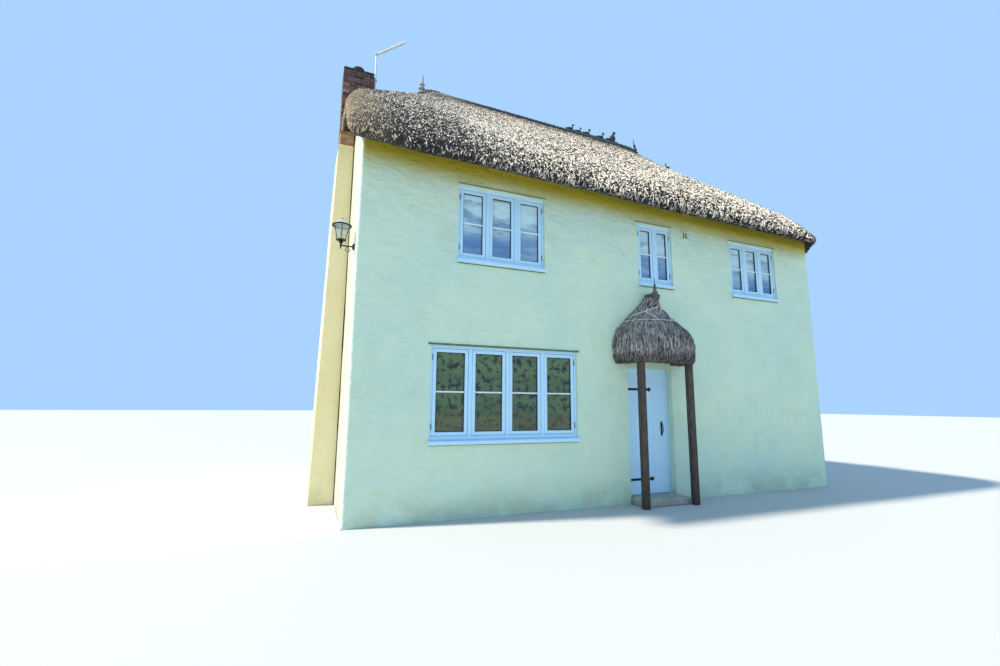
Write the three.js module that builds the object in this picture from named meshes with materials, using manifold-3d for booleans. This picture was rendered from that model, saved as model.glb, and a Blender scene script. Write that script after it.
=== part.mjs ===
// A two-storey thatched cottage. Millimetres, +Z up, the front faces -Y.
// The shapes are laid out from the house's front left corner at ground level,
// and the finished group is moved so that the middle of the plan is the origin.

import * as THREE from 'three';
import { ConvexGeometry } from 'three/addons/geometries/ConvexGeometry.js';
import { mergeVertices } from 'three/addons/utils/BufferGeometryUtils.js';
import Module from 'manifold-3d';

const wasm = await Module();
wasm.setup();

// The house's body
const LENGTH = 8520;
const DEPTH = 5400;
const WALL = 450;
const MID_Y = DEPTH / 2;
const HEAD_LEFT = 4900;
const HEAD_RIGHT = 4700;
const GROUND_FLOOR_TOP = 100;
const UPPER_FLOOR_TOP = 2550;
const UPPER_FLOOR_DEPTH = 220;
const SEAT_GAP = 0.3;
const TALL = 9000;

// The roof's slopes, as rise over run, and where they start
const MAIN_SLOPE = 0.9;
const HIP_SLOPE = 1.285;
const HIP_FOOT = 4610;
const HALF_HIP_SLOPE = 0.91;
const HALF_HIP_FOOT = 6180;
const THATCH_RISE = 500;

// How far the thatch is rounded over its ridge, and over the hips at the right as they come down
const SOFTNESS = 70;
const HIP_SOFTNESS = 440;
const SOFT_FROM_X = 5000;
const SOFT_LENGTH = 1500;
const SOFT_WIDTH = 1000;

// The eaves
const EAVE_OVERHANG = 500;
const VERGE_OVERHANG = 208;
const HIP_OVERHANG = 250;
const VERGE_CORNER = 240;
const HIP_CORNER = 1000;

// Windows: left edge, right edge, sill, head and number of lights
const GROUND_WINDOW = { x0: 1008, x1: 3200, z0: 986, z1: 2225, lights: 4 };
const UPPER_LEFT_WINDOW = { x0: 1336, x1: 2681, z0: 3425, z1: 4500, lights: 3 };
const UPPER_MIDDLE_WINDOW = { x0: 4393, x1: 5098, z0: 3415, z1: 4420, lights: 2 };
const UPPER_RIGHT_WINDOW = { x0: 6420, x1: 7572, z0: 3420, z1: 4390, lights: 3 };
const FRAME_SETBACK = 30;
const FRAME_DEPTH = 90;
const FRAME_WIDTH = 50;
const JAMB_WIDTH = 35;
const SASH_WIDTH = 47;
const SASH_DEPTH = 26;
const SASH_SETBACK = 6;
const GLASS_THICKNESS = 6;
const SILL_DEPTH = 58;
const SILL_HORN = 8;
const SILL_NOSE = 50;

// Doorways
const FRONT_DOORWAY = { x0: 4100, x1: 4960, z1: 2020 };
const BACK_DOORWAY = { x0: 3500, x1: 4400, z1: 2020 };
const DOOR_FRAME_WIDTH = 65;
const DOOR_FRAME_DEPTH = 110;
const DOOR_SETBACK = 100;
const DOOR_THICKNESS = 45;
const DOOR_CLEARANCE = 5;

// The chimney on the left gable
const BREAST_Y0 = 1500;
const BREAST_Y1 = DEPTH - BREAST_Y0;
const BREAST_FOOT_REACH = 350;
const BREAST_TOP_REACH = 240;
const SHOULDER_FOOT = 5570;
const STACK_FOOT = 5790;
const STACK = { x0: -204, x1: 349, y0: MID_Y - 300, y1: MID_Y + 300, z1: 7640 };
const FLUE = 150;
const FLAUNCHING = 60;
const POT_RADIUS = 102;
const POT_HEIGHT = 208;
const POT_WALL = 22;

// The aerial on the stack
const MAST_RADIUS = 16;
const MAST = { x: STACK.x1 + 23, y: STACK.y0 + 100, z0: 7240, z1: 8180 };
const BOOM_HEADING = -48.5;
const BOOM_LENGTH = 690;
const BOOM_HEIGHT = 8130;

// The porch
const PORCH_X = 4530;
const PORCH_FINIAL_Y = -200;
const PORCH_SIDE = 500;
const PORCH_FRONT = 400;
const POST = 90;
const PLATE_FOOT = 2080;

// The lantern on the gable
const LANTERN = { x: -165, y: 300, z: 3530 };

// The roll along the ridge and the ornaments on it
const ROLL_RADIUS = 85;
const ROLL_RISE = -18;
const ROLL_START = 1270;
const ROLL_END = 6735;
const LEFT_FINIAL = { x: 1305, height: 490, radius: 70, lean: 4 };
const RIGHT_FINIAL = { x: 6665, height: 430, radius: 50, lean: -12 };
const PORCH_FINIAL = { height: 268, radius: 34, lean: 0 };
const HIP_BIRD = { x: 6600, y: 1600, size: 0.65 };
const COCKEREL_X = 5970;
const COCKEREL_SIZE = 1.34;
const DUCKS = [
  { x: 4790, size: 1.05 },
  { x: 5010, size: 0.9 },
  { x: 5240, size: 1.05 },
  { x: 5620, size: 1.1 },
];

// Materials

function finish(color, roughness, metalness = 0) {
  return new THREE.MeshStandardMaterial({ color, roughness, metalness });
}

function limewash() {
  return finish('#f1ecc4', 0.9);
}

function thatch() {
  return finish('#a89e88', 1.0);
}

function darkThatch() {
  return finish('#6f7370', 1.0);
}

function bluePaint() {
  return finish('#bcd6ec', 0.45);
}

function glass() {
  return finish('#8fb0c8', 0.08);
}

function brick() {
  return finish('#7a5148', 0.9);
}

function clay() {
  return finish('#b56a4a', 0.85);
}

function mortar() {
  return finish('#9b968a', 0.95);
}

function stone() {
  return finish('#a39d90', 0.9);
}

function boards() {
  return finish('#8a6a48', 0.8);
}

function darkTimber() {
  return finish('#4d463d', 0.8);
}

function blackIron() {
  return finish('#23242a', 0.5, 0.6);
}

function aluminium() {
  return finish('#c4c8cc', 0.4, 0.9);
}

// Geometry helpers

/** A box between two values on each axis. */
function block(x0, x1, y0, y1, z0, z1) {
  const geometry = new THREE.BoxGeometry(x1 - x0, y1 - y0, z1 - z0);
  return geometry.translate((x0 + x1) / 2, (y0 + y1) / 2, (z0 + z1) / 2);
}

/** Shape coordinates become X and Z, and the depth runs towards +Y from y0. */
function standAlongX(geometry, y0, depth) {
  const turn = new THREE.Matrix4().set(1, 0, 0, 0, 0, 0, -1, y0 + depth, 0, 1, 0, 0, 0, 0, 0, 1);
  return geometry.applyMatrix4(turn);
}

/** Shape coordinates become Y and Z, and the depth runs towards +X from x0. */
function standAlongY(geometry, x0) {
  const turn = new THREE.Matrix4().set(0, 0, 1, x0, 1, 0, 0, 0, 0, 1, 0, 0, 0, 0, 0, 1);
  return geometry.applyMatrix4(turn);
}

function outline(points) {
  return new THREE.Shape(points.map(([x, y]) => new THREE.Vector2(x, y)));
}

function extruded(shape, depth) {
  return new THREE.ExtrudeGeometry(shape, { depth, bevelEnabled: false, curveSegments: 12 });
}

/** A body of revolution about Z, from radius and height pairs that start and end on the axis. */
function turned(profile, sides) {
  const points = profile.map(([radius, height]) => new THREE.Vector2(radius, height));
  return new THREE.LatheGeometry(points, sides).rotateX(Math.PI / 2);
}

function rod(radius, length, sides = 10) {
  return new THREE.CylinderGeometry(radius, radius, length, sides).rotateX(Math.PI / 2);
}

/** A closed geometry as a solid that can be cut and joined. */
function solid(geometry) {
  const plain = geometry.index ? geometry.toNonIndexed() : geometry.clone();
  plain.deleteAttribute('normal');
  plain.deleteAttribute('uv');
  const merged = mergeVertices(plain, 1e-2);
  const corners = merged.index.array;
  const kept = [];
  for (let i = 0; i < corners.length; i += 3) {
    const [a, b, c] = [corners[i], corners[i + 1], corners[i + 2]];
    if (a !== b && b !== c && c !== a) kept.push(a, b, c);
  }
  return new wasm.Manifold(new wasm.Mesh({
    numProp: 3,
    vertProperties: merged.attributes.position.array,
    triVerts: new Uint32Array(kept),
  }));
}

/** A solid's surface as a geometry again. */
function surface(body) {
  const mesh = body.getMesh();
  const geometry = new THREE.BufferGeometry();
  geometry.setAttribute('position', new THREE.BufferAttribute(mesh.vertProperties, 3));
  geometry.setIndex(new THREE.BufferAttribute(mesh.triVerts, 1));
  return geometry;
}

/** A solid from either a geometry or a solid. */
function asSolid(part) {
  return part.isBufferGeometry ? solid(part) : part;
}

function joined(parts) {
  return parts.map(asSolid).reduce((sum, body) => sum.add(body));
}

/** A piece with blocks cut out of it. */
function pierced(piece, holes) {
  return holes.map(asSolid).reduce((body, hole) => body.subtract(hole), asSolid(piece));
}

/** Cuts a piece so that it rests on its carrier with the seat's small gap. */
function seated(piece, carrier) {
  return piece.subtract(carrier.translate([0, 0, SEAT_GAP]));
}

const cottage = new THREE.Group();

function add(name, shape, material) {
  const mesh = new THREE.Mesh(surface(asSolid(shape)), material);
  mesh.name = name;
  cottage.add(mesh);
  return mesh;
}

// The roof's surfaces

/** Height of the wall head, which falls gently to the right. */
function headHeight(x) {
  return HEAD_LEFT + ((HEAD_RIGHT - HEAD_LEFT) * x) / LENGTH;
}

/** Heights of the four slopes of the thatch's underside over a plan point. */
function slopeHeights(x, y) {
  return [
    headHeight(x) + MAIN_SLOPE * y,
    headHeight(x) + MAIN_SLOPE * (DEPTH - y),
    HIP_FOOT + HIP_SLOPE * (LENGTH - x),
    HALF_HIP_FOOT - THATCH_RISE + HALF_HIP_SLOPE * (x + VERGE_OVERHANG),
  ];
}

/** How far the slopes run into each other over a plan point. */
function softness(x, y) {
  const along = THREE.MathUtils.clamp((x - SOFT_FROM_X) / SOFT_LENGTH, 0, 1);
  const down = THREE.MathUtils.clamp(Math.abs(y - MID_Y) / SOFT_WIDTH, 0, 1);
  return THREE.MathUtils.lerp(SOFTNESS, HIP_SOFTNESS, along * down);
}

/** Height of the thatch's top, with its ridge and hips rounded over. */
function thatchHeight(x, y) {
  const heights = slopeHeights(x, y).map((height) => height + THATCH_RISE);
  const lowest = Math.min(...heights);
  const soft = softness(x, y);
  const sum = heights.reduce((total, height) => total + Math.exp((lowest - height) / soft), 0);
  return lowest - soft * Math.log(sum);
}

/** Where the ridge of the underside meets the half hip and the hip. */
function ridgeEnds() {
  const fall = (HEAD_RIGHT - HEAD_LEFT) / LENGTH;
  const left = (HEAD_LEFT + MAIN_SLOPE * MID_Y - GABLE_TOP) / (HALF_HIP_SLOPE - fall);
  const right = (HIP_FOOT + HIP_SLOPE * LENGTH - HEAD_LEFT - MAIN_SLOPE * MID_Y) / (HIP_SLOPE + fall);
  return [left, right];
}

// Where the half hip starts on the left gable
const GABLE_TOP = HALF_HIP_FOOT - THATCH_RISE + HALF_HIP_SLOPE * VERGE_OVERHANG;
const GABLE_Y = (GABLE_TOP - HEAD_LEFT) / MAIN_SLOPE;

/** The closed space under the thatch, down to a base height. */
function underRoof(base) {
  const [left, right] = ridgeEnds();
  const fall = (HEAD_RIGHT - HEAD_LEFT) / LENGTH;
  const hipX = (HIP_FOOT + HIP_SLOPE * LENGTH - HEAD_LEFT) / (HIP_SLOPE + fall);
  const points = [];
  for (const y of [0, DEPTH]) {
    points.push([0, y, base], [0, y, HEAD_LEFT]);
    points.push([hipX, y, headHeight(hipX)]);
    points.push([LENGTH, y, base], [LENGTH, y, HIP_FOOT]);
  }
  for (const y of [GABLE_Y, DEPTH - GABLE_Y]) points.push([0, y, GABLE_TOP]);
  for (const x of [left, right]) points.push([x, MID_Y, slopeHeights(x, MID_Y)[0]]);
  return solid(new ConvexGeometry(points.map((point) => new THREE.Vector3(...point))));
}

/** Plan points round the eaves, each with the ridge and wall points that belong to it. */
function eavePoints() {
  const [ridgeLeft, ridgeRight] = ridgeEnds();
  const x0 = -VERGE_OVERHANG;
  const x1 = LENGTH + HIP_OVERHANG;
  const y0 = -EAVE_OVERHANG;
  const y1 = DEPTH + EAVE_OVERHANG;
  const clamp = THREE.MathUtils.clamp;
  const points = [];
  const put = (x, y) => points.push({
    edge: new THREE.Vector2(x, y),
    ridge: new THREE.Vector2(clamp(x, ridgeLeft, ridgeRight), MID_Y),
    wall: new THREE.Vector2(clamp(x, 0, LENGTH), clamp(y, 0, DEPTH)),
  });
  const span = (from, to, count) => {
    for (let i = 0; i < count; i += 1) put(...from.map((value, k) => value + ((to[k] - value) * i) / count));
  };
  const corner = (cx, cy, radius, start) => {
    const steps = 6;
    for (let i = 0; i < steps; i += 1) {
      const angle = start + (Math.PI / 2) * (i / steps);
      put(cx + radius * Math.cos(angle), cy + radius * Math.sin(angle));
    }
  };
  const straightLeft = x0 + VERGE_CORNER;
  const straightRight = x1 - HIP_CORNER;
  span([straightLeft, y0], [ridgeLeft, y0], 3);
  span([ridgeLeft, y0], [ridgeRight, y0], 12);
  span([ridgeRight, y0], [straightRight, y0], 3);
  corner(straightRight, y0 + HIP_CORNER, HIP_CORNER, -Math.PI / 2);
  span([x1, y0 + HIP_CORNER], [x1, y1 - HIP_CORNER], 6);
  corner(straightRight, y1 - HIP_CORNER, HIP_CORNER, 0);
  span([straightRight, y1], [ridgeRight, y1], 3);
  span([ridgeRight, y1], [ridgeLeft, y1], 12);
  span([ridgeLeft, y1], [straightLeft, y1], 3);
  corner(straightLeft, y1 - VERGE_CORNER, VERGE_CORNER, Math.PI / 2);
  span([x0, y1 - VERGE_CORNER], [x0, DEPTH - GABLE_Y], 3);
  span([x0, DEPTH - GABLE_Y], [x0, GABLE_Y], 8);
  span([x0, GABLE_Y], [x0, y0 + VERGE_CORNER], 3);
  corner(straightLeft, y0 + VERGE_CORNER, VERGE_CORNER, Math.PI);
  return points;
}

// The eave's brow: how far in from the edge, as a share of the way to the ridge, and its drop
const EAVE_BROW = [[0.156, 0], [0.11, 12], [0.07, 45], [0.0375, 100], [0.0125, 170], [0, 250]];

// The eave's lip: how far in from the edge, as a share of the overhang, and its drop
const EAVE_LIP = [[0.05, 325], [0.16, 385], [0.3, 415]];

// How much thinner the eave gets where the hips are rounded, as a share of what they are rounded by
const EAVE_THINNING = 0.75;
const SLOPE_STEPS = 6;

/** Height at a drop below the thatch's top, where the eave is thinner the more its hips are rounded. */
function eaveHeight(x, y, drop) {
  const top = thatchHeight(x, y);
  const rounding = Math.min(...slopeHeights(x, y)) + THATCH_RISE - top;
  const deepest = EAVE_LIP[EAVE_LIP.length - 1][1];
  return top - drop * (1 - (EAVE_THINNING * rounding) / deepest);
}

/** Rings from the ridge down the slope, round the eave's brow and lip and back to the wall. */
function thatchRings(points) {
  const rings = [];
  const ring = (target, share, drop) => rings.push(points.map((point) => {
    const { x, y } = point.edge.clone().lerp(point[target], share);
    return new THREE.Vector3(x, y, eaveHeight(x, y, drop));
  }));
  const slope = 1 - EAVE_BROW[0][0];
  for (let i = 0; i < SLOPE_STEPS; i += 1) ring('ridge', 1 - (slope * i) / SLOPE_STEPS, 0);
  for (const [share, drop] of EAVE_BROW) ring('ridge', share, drop);
  for (const [share, drop] of EAVE_LIP) ring('wall', share, drop);
  rings.push(points.map(({ wall }) => {
    const height = Math.min(...slopeHeights(wall.x, wall.y));
    return new THREE.Vector3(wall.x, wall.y, height);
  }));
  rings.push(points.map(({ wall }) => new THREE.Vector3(wall.x, wall.y, HEAD_RIGHT - THATCH_RISE)));
  return rings;
}

/** A skin over rings of equal length, closed at the last ring by a flat fan. */
function loft(rings) {
  const count = rings[0].length;
  const corners = [];
  for (let r = 0; r + 1 < rings.length; r += 1) {
    for (let i = 0; i < count; i += 1) {
      const next = (i + 1) % count;
      corners.push(rings[r][i], rings[r + 1][i], rings[r + 1][next]);
      corners.push(rings[r][i], rings[r + 1][next], rings[r][next]);
    }
  }
  const last = rings[rings.length - 1];
  const middle = last.reduce((sum, point) => sum.add(point), new THREE.Vector3()).divideScalar(count);
  for (let i = 0; i < count; i += 1) corners.push(last[i], middle, last[(i + 1) % count]);
  return new THREE.BufferGeometry().setFromPoints(corners);
}

const stackHole = solid(block(
  STACK.x0 - SEAT_GAP, STACK.x1 + SEAT_GAP, STACK.y0 - SEAT_GAP, STACK.y1 + SEAT_GAP,
  STACK_FOOT - SEAT_GAP, TALL,
));

function thatchRoof() {
  const body = solid(loft(thatchRings(eavePoints())));
  return body.subtract(underRoof(HEAD_RIGHT - 2 * THATCH_RISE)).subtract(stackHole);
}

/** Height of the ridge roll's top. */
function rollTop(x) {
  return thatchHeight(x, MID_Y) + ROLL_RISE + ROLL_RADIUS;
}

/** The raised roll of straw along the ridge. */
function ridgeRoll() {
  const steps = 20;
  const places = Array.from({ length: steps + 1 }, (_, i) => {
    const x = THREE.MathUtils.lerp(ROLL_START, ROLL_END, i / steps);
    return new THREE.Vector3(x, MID_Y, rollTop(x) - ROLL_RADIUS);
  });
  const path = new THREE.CatmullRomCurve3(places);
  const section = new THREE.Shape().absarc(0, 0, ROLL_RADIUS, 0, 2 * Math.PI);
  const roll = new THREE.ExtrudeGeometry(section, { steps, curveSegments: 12, extrudePath: path });
  return solid(roll);
}

// Walls

/** The wall opening of a window, which also takes its sill. */
function windowHole({ x0, x1, z0, z1 }) {
  return solid(block(x0, x1, -WALL, DEPTH + WALL, z0 - SILL_DEPTH, z1));
}

function doorHole({ x0, x1, z1 }) {
  return solid(block(x0, x1, -WALL, DEPTH + WALL, -WALL, z1));
}

const FRONT_WINDOWS = [GROUND_WINDOW, UPPER_LEFT_WINDOW, UPPER_MIDDLE_WINDOW, UPPER_RIGHT_WINDOW];
const BACK_GROUND_LEFT = { x0: 1100, x1: 2445, z0: 961, z1: 2011, lights: 3 };
const BACK_GROUND_RIGHT = { x0: 5400, x1: 6745, z0: 961, z1: 2011, lights: 3 };
const BACK_WINDOWS = [BACK_GROUND_LEFT, BACK_GROUND_RIGHT, UPPER_LEFT_WINDOW, UPPER_RIGHT_WINDOW];
const VENT = { x: 5400, z: 4345, width: 150, height: 170, plate: 40, proud: 12 };

/** A long wall with its openings, trimmed to the roof's underside. */
function longWall(y0, windows, doorway) {
  const holes = [...windows.map(windowHole), doorHole(doorway)];
  const cut = pierced(block(0, LENGTH, y0, y0 + WALL, 0, TALL), holes);
  return cut.intersect(underRoof(0).translate([0, 0, -SEAT_GAP]));
}

function ventHole() {
  const { x, z, width, height } = VENT;
  const inset = 10;
  return solid(block(
    x - width / 2 + inset, x + width / 2 - inset, -WALL, 2 * WALL,
    z - height / 2 + inset, z + height / 2 - inset,
  ));
}

function endWall(x0) {
  const body = solid(block(x0, x0 + WALL, WALL, DEPTH - WALL, 0, TALL));
  return body.intersect(underRoof(0).translate([0, 0, -SEAT_GAP])).subtract(stackHole);
}

/** Adds the walls, floors, thatch and ridge. */
function addShell() {
  add('front_wall', longWall(0, FRONT_WINDOWS, FRONT_DOORWAY).subtract(ventHole()), limewash());
  add('back_wall', longWall(DEPTH - WALL, BACK_WINDOWS, BACK_DOORWAY), limewash());
  add('left_gable_wall', endWall(0), limewash());
  add('right_end_wall', endWall(LENGTH - WALL), limewash());
  add('ground_floor', block(WALL, LENGTH - WALL, WALL, DEPTH - WALL, 0, GROUND_FLOOR_TOP), stone());
  const upperFoot = UPPER_FLOOR_TOP - UPPER_FLOOR_DEPTH;
  add('upper_floor', block(WALL, LENGTH - WALL, WALL, DEPTH - WALL, upperFoot, UPPER_FLOOR_TOP), boards());
}

// Windows

/** Spans of a window's lights between its jambs and mullions. */
function lightSpans({ x0, x1, lights }) {
  const pitch = (x1 - x0 - 2 * JAMB_WIDTH + FRAME_WIDTH) / lights;
  return Array.from({ length: lights }, (_, i) => {
    const from = x0 + JAMB_WIDTH + i * pitch;
    return [from, from + pitch - FRAME_WIDTH];
  });
}

const SASH_Y = FRAME_SETBACK + SASH_SETBACK;
const PANE_Y = SASH_Y + SASH_DEPTH;

/** The frame with its mullions and sashes, left open behind them for the glass, and its sill. */
function windowFrame(hole) {
  const [z0, z1] = [hole.z0 + FRAME_WIDTH, hole.z1 - FRAME_WIDTH];
  const [x0, x1] = [hole.x0 + JAMB_WIDTH, hole.x1 - JAMB_WIDTH];
  const back = FRAME_SETBACK + FRAME_DEPTH;
  const rebate = block(x0, x1, PANE_Y, WALL, z0, z1);
  const steps = lightSpans(hole).map(([a, b]) => block(a, b, 0, SASH_Y, z0, z1));
  const lights = lightSpans(hole).map(([a, b]) => block(
    a + SASH_WIDTH, b - SASH_WIDTH, 0, WALL, z0 + SASH_WIDTH, z1 - SASH_WIDTH,
  ));
  const frame = block(hole.x0, hole.x1, FRAME_SETBACK, back, hole.z0, hole.z1);
  return pierced(frame, [rebate, ...steps, ...lights]).add(solid(windowSill(hole)));
}

/** One sheet of glass behind a window's sashes. */
function windowGlass({ x0, x1, z0, z1 }) {
  return block(
    x0 + JAMB_WIDTH, x1 - JAMB_WIDTH, PANE_Y, PANE_Y + GLASS_THICKNESS,
    z0 + FRAME_WIDTH, z1 - FRAME_WIDTH,
  );
}

/** A sill with horns past the opening, seen from above and then given its depth. */
function windowSill({ x0, x1, z0 }) {
  const tail = FRAME_SETBACK + FRAME_DEPTH;
  const shape = outline([
    [x0, tail], [x0, 0], [x0 - SILL_HORN, 0], [x0 - SILL_HORN, -SILL_NOSE],
    [x1 + SILL_HORN, -SILL_NOSE], [x1 + SILL_HORN, 0], [x1, 0], [x1, tail],
  ]);
  return extruded(shape, SILL_DEPTH).translate(0, 0, z0 - SILL_DEPTH);
}

/** Turns a piece of the front wall round to the same place on the back wall. */
function toBack(part) {
  return asSolid(part).rotate([0, 0, 180]).translate([LENGTH, DEPTH, 0]);
}

function backward({ x0, x1, ...rest }) {
  return { x0: LENGTH - x1, x1: LENGTH - x0, ...rest };
}

function addFrontWindows() {
  const names = ['ground_window', 'upper_left_window', 'upper_middle_window', 'upper_right_window'];
  FRONT_WINDOWS.forEach((hole, i) => {
    add(`${names[i]}_frame`, windowFrame(hole), bluePaint());
    add(`${names[i]}_glass`, windowGlass(hole), glass());
  });
}

function addBackWindows() {
  BACK_WINDOWS.forEach((hole, i) => {
    add(`back_window_${i + 1}_frame`, toBack(windowFrame(backward(hole))), bluePaint());
    add(`back_window_${i + 1}_glass`, toBack(windowGlass(backward(hole))), glass());
  });
}

// Doors

function doorFrame({ x0, x1, z1 }) {
  const shape = outline([
    [x0, 0], [x0 + DOOR_FRAME_WIDTH, 0], [x0 + DOOR_FRAME_WIDTH, z1 - DOOR_FRAME_WIDTH],
    [x1 - DOOR_FRAME_WIDTH, z1 - DOOR_FRAME_WIDTH], [x1 - DOOR_FRAME_WIDTH, 0], [x1, 0],
    [x1, z1], [x0, z1],
  ]);
  return standAlongX(extruded(shape, DOOR_FRAME_DEPTH), DOOR_SETBACK, DOOR_FRAME_DEPTH);
}

function doorLeaf({ x0, x1, z1 }) {
  const inset = DOOR_FRAME_WIDTH + SEAT_GAP;
  const y0 = DOOR_SETBACK + DOOR_CLEARANCE;
  const foot = GROUND_FLOOR_TOP + DOOR_CLEARANCE;
  return block(x0 + inset, x1 - inset, y0, y0 + DOOR_THICKNESS, foot, z1 - inset);
}

/** The threshold fills the foot of the doorway and reaches out as a step. */
function doorStep({ x0, x1 }) {
  const reach = 300;
  const shape = outline([
    [x0 + DOOR_FRAME_WIDTH, WALL], [x0 + DOOR_FRAME_WIDTH, 0], [x0, 0], [x0, -reach],
    [x1, -reach], [x1, 0], [x1 - DOOR_FRAME_WIDTH, 0], [x1 - DOOR_FRAME_WIDTH, WALL],
  ]);
  return extruded(shape, GROUND_FLOOR_TOP);
}

function addDoors() {
  add('front_door_frame', doorFrame(FRONT_DOORWAY), bluePaint());
  add('front_door', doorLeaf(FRONT_DOORWAY), bluePaint());
  add('front_doorstep', doorStep(FRONT_DOORWAY), stone());
  const back = backward(BACK_DOORWAY);
  add('back_door_frame', toBack(doorFrame(back)), bluePaint());
  add('back_door', toBack(doorLeaf(back)), bluePaint());
  add('back_doorstep', toBack(doorStep(back)), stone());
}

// The chimney and its aerial

function chimneyBreast() {
  const side = standAlongX(extruded(outline([
    [0, 0], [0, STACK_FOOT], [-BREAST_TOP_REACH, STACK_FOOT],
    [-BREAST_TOP_REACH, SHOULDER_FOOT], [-BREAST_FOOT_REACH, 0],
  ]), BREAST_Y1 - BREAST_Y0), BREAST_Y0, BREAST_Y1 - BREAST_Y0);
  const face = standAlongY(extruded(outline([
    [BREAST_Y0, 0], [BREAST_Y1, 0], [BREAST_Y1, SHOULDER_FOOT],
    [STACK.y1, STACK_FOOT], [STACK.y0, STACK_FOOT], [BREAST_Y0, SHOULDER_FOOT],
  ]), 2 * BREAST_FOOT_REACH), -BREAST_FOOT_REACH);
  return solid(side).intersect(solid(face));
}

function chimneyStack() {
  const [x, y] = stackMiddle();
  const flue = block(x - FLUE / 2, x + FLUE / 2, y - FLUE / 2, y + FLUE / 2, 0, TALL);
  return pierced(block(STACK.x0, STACK.x1, STACK.y0, STACK.y1, STACK_FOOT, STACK.z1), [flue]);
}

function stackMiddle() {
  return [(STACK.x0 + STACK.x1) / 2, (STACK.y0 + STACK.y1) / 2];
}

/** The mortar bed that slopes from the pot to the stack's edges. */
function flaunching() {
  const inset = 30;
  const slope = 90;
  const points = [];
  for (const [level, margin] of [[0, inset], [FLAUNCHING, inset + slope]]) {
    for (const x of [STACK.x0 + margin, STACK.x1 - margin]) {
      for (const y of [STACK.y0 + margin, STACK.y1 - margin]) {
        points.push(new THREE.Vector3(x, y, STACK.z1 + level));
      }
    }
  }
  const [x, y] = stackMiddle();
  const socket = rod(POT_RADIUS + SEAT_GAP, 4 * FLAUNCHING, 24).translate(x, y, STACK.z1);
  return solid(new ConvexGeometry(points)).subtract(solid(socket));
}

function chimneyPot() {
  const [x, y] = stackMiddle();
  const bore = POT_RADIUS - POT_WALL;
  const points = [
    [bore, 0], [POT_RADIUS, 0], [POT_RADIUS * 0.96, POT_HEIGHT - 70], [POT_RADIUS * 1.12, POT_HEIGHT - 50],
    [POT_RADIUS * 1.12, POT_HEIGHT], [bore, POT_HEIGHT], [bore, 0],
  ].map(([radius, height]) => new THREE.Vector2(radius, height));
  return new THREE.LatheGeometry(points, 24).rotateX(Math.PI / 2).translate(x, y, STACK.z1);
}

function mastRod(radius) {
  return rod(radius, MAST.z1 - MAST.z0).translate(MAST.x, MAST.y, (MAST.z0 + MAST.z1) / 2);
}

/** A strap with two clamps that hold the mast off the stack's right face. */
function mastBracket() {
  const reach = MAST.x + 2 * MAST_RADIUS;
  const [low, high] = [MAST.z0 + 60, STACK.z1 - 70];
  const clamps = [low, high].map((z) => block(STACK.x1, reach, MAST.y - 30, MAST.y + 30, z - 15, z + 15));
  const strap = block(STACK.x1, STACK.x1 + 6, MAST.y - 20, MAST.y + 20, low, high);
  return joined([strap, ...clamps]).subtract(solid(mastRod(MAST_RADIUS + SEAT_GAP)));
}

/** A level boom with cross rods, held to the mast by a block. */
function antenna() {
  const boomRadius = 18;
  const rods = 9;
  const behind = 40;
  const parts = [block(-34, 34, -28, 28, -28, 28)];
  parts.push(new THREE.CylinderGeometry(boomRadius, boomRadius, BOOM_LENGTH + behind, 8)
    .rotateZ(Math.PI / 2).translate((BOOM_LENGTH - behind) / 2, 0, 0));
  for (let i = 0; i < rods; i += 1) {
    const length = 116 - 3 * i;
    const x = 90 + (i * (BOOM_LENGTH - 100)) / (rods - 1);
    parts.push(new THREE.CylinderGeometry(5, 5, length, 6).translate(x, 0, 0));
  }
  const heading = THREE.MathUtils.degToRad(BOOM_HEADING);
  const placed = parts.map((part) => part.rotateZ(heading).translate(MAST.x, MAST.y, BOOM_HEIGHT));
  return joined(placed).subtract(solid(mastRod(MAST_RADIUS + SEAT_GAP)));
}

function addChimney() {
  add('chimney_breast', chimneyBreast(), limewash());
  add('chimney_stack', chimneyStack(), brick());
  add('chimney_flaunching', flaunching(), mortar());
  add('chimney_pot', chimneyPot(), clay());
  add('aerial_mast', mastRod(MAST_RADIUS), aluminium());
  add('aerial_bracket', mastBracket(), aluminium());
  add('aerial_antenna', antenna(), aluminium());
}

// Ornaments on the ridge

/** A turned finial with three rings and a spire, leaning along the ridge, and a foot in its carrier. */
function finial({ height, radius, lean }, foot) {
  const share = (width, level) => [width * radius, level * height];
  const body = turned([
    [0, -foot], [0.7 * radius, -foot], share(0.7, 0), share(1, 0.05), share(1, 0.1), share(0.66, 0.16),
    share(0.6, 0.22), share(0.88, 0.27), share(0.88, 0.31), share(0.5, 0.37), share(0.42, 0.43),
    share(0.66, 0.48), share(0.62, 0.52), share(0.28, 0.58), share(0.16, 0.8), [0, height],
  ], 12);
  return body.rotateY(THREE.MathUtils.degToRad(lean));
}

/** A tapered round limb between two points, given by their distance along the bird and their height. */
function limb([x0, z0], [x1, z1], radius0, radius1) {
  const length = Math.hypot(x1 - x0, z1 - z0);
  return new THREE.CylinderGeometry(radius1, radius0, length, 8)
    .rotateX(Math.PI / 2).rotateY(Math.atan2(x1 - x0, z1 - z0)).translate((x0 + x1) / 2, 0, (z0 + z1) / 2);
}

/** A straw duck that sits low and looks to the right, with its body over the origin. */
function duck(size) {
  const parts = [
    new THREE.SphereGeometry(1, 10, 8).scale(85, 42, 42).translate(0, 0, 30),
    limb([0, -60], [0, 20], 30, 26),
    limb([-50, 34], [-108, 56], 26, 9),
    limb([50, 36], [75, 135], 24, 15),
    new THREE.SphereGeometry(1, 8, 6).scale(27, 20, 24).translate(80, 0, 146),
    limb([95, 146], [128, 140], 11, 3),
  ];
  return joined(parts.map((part) => part.scale(size, size, size)));
}

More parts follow.
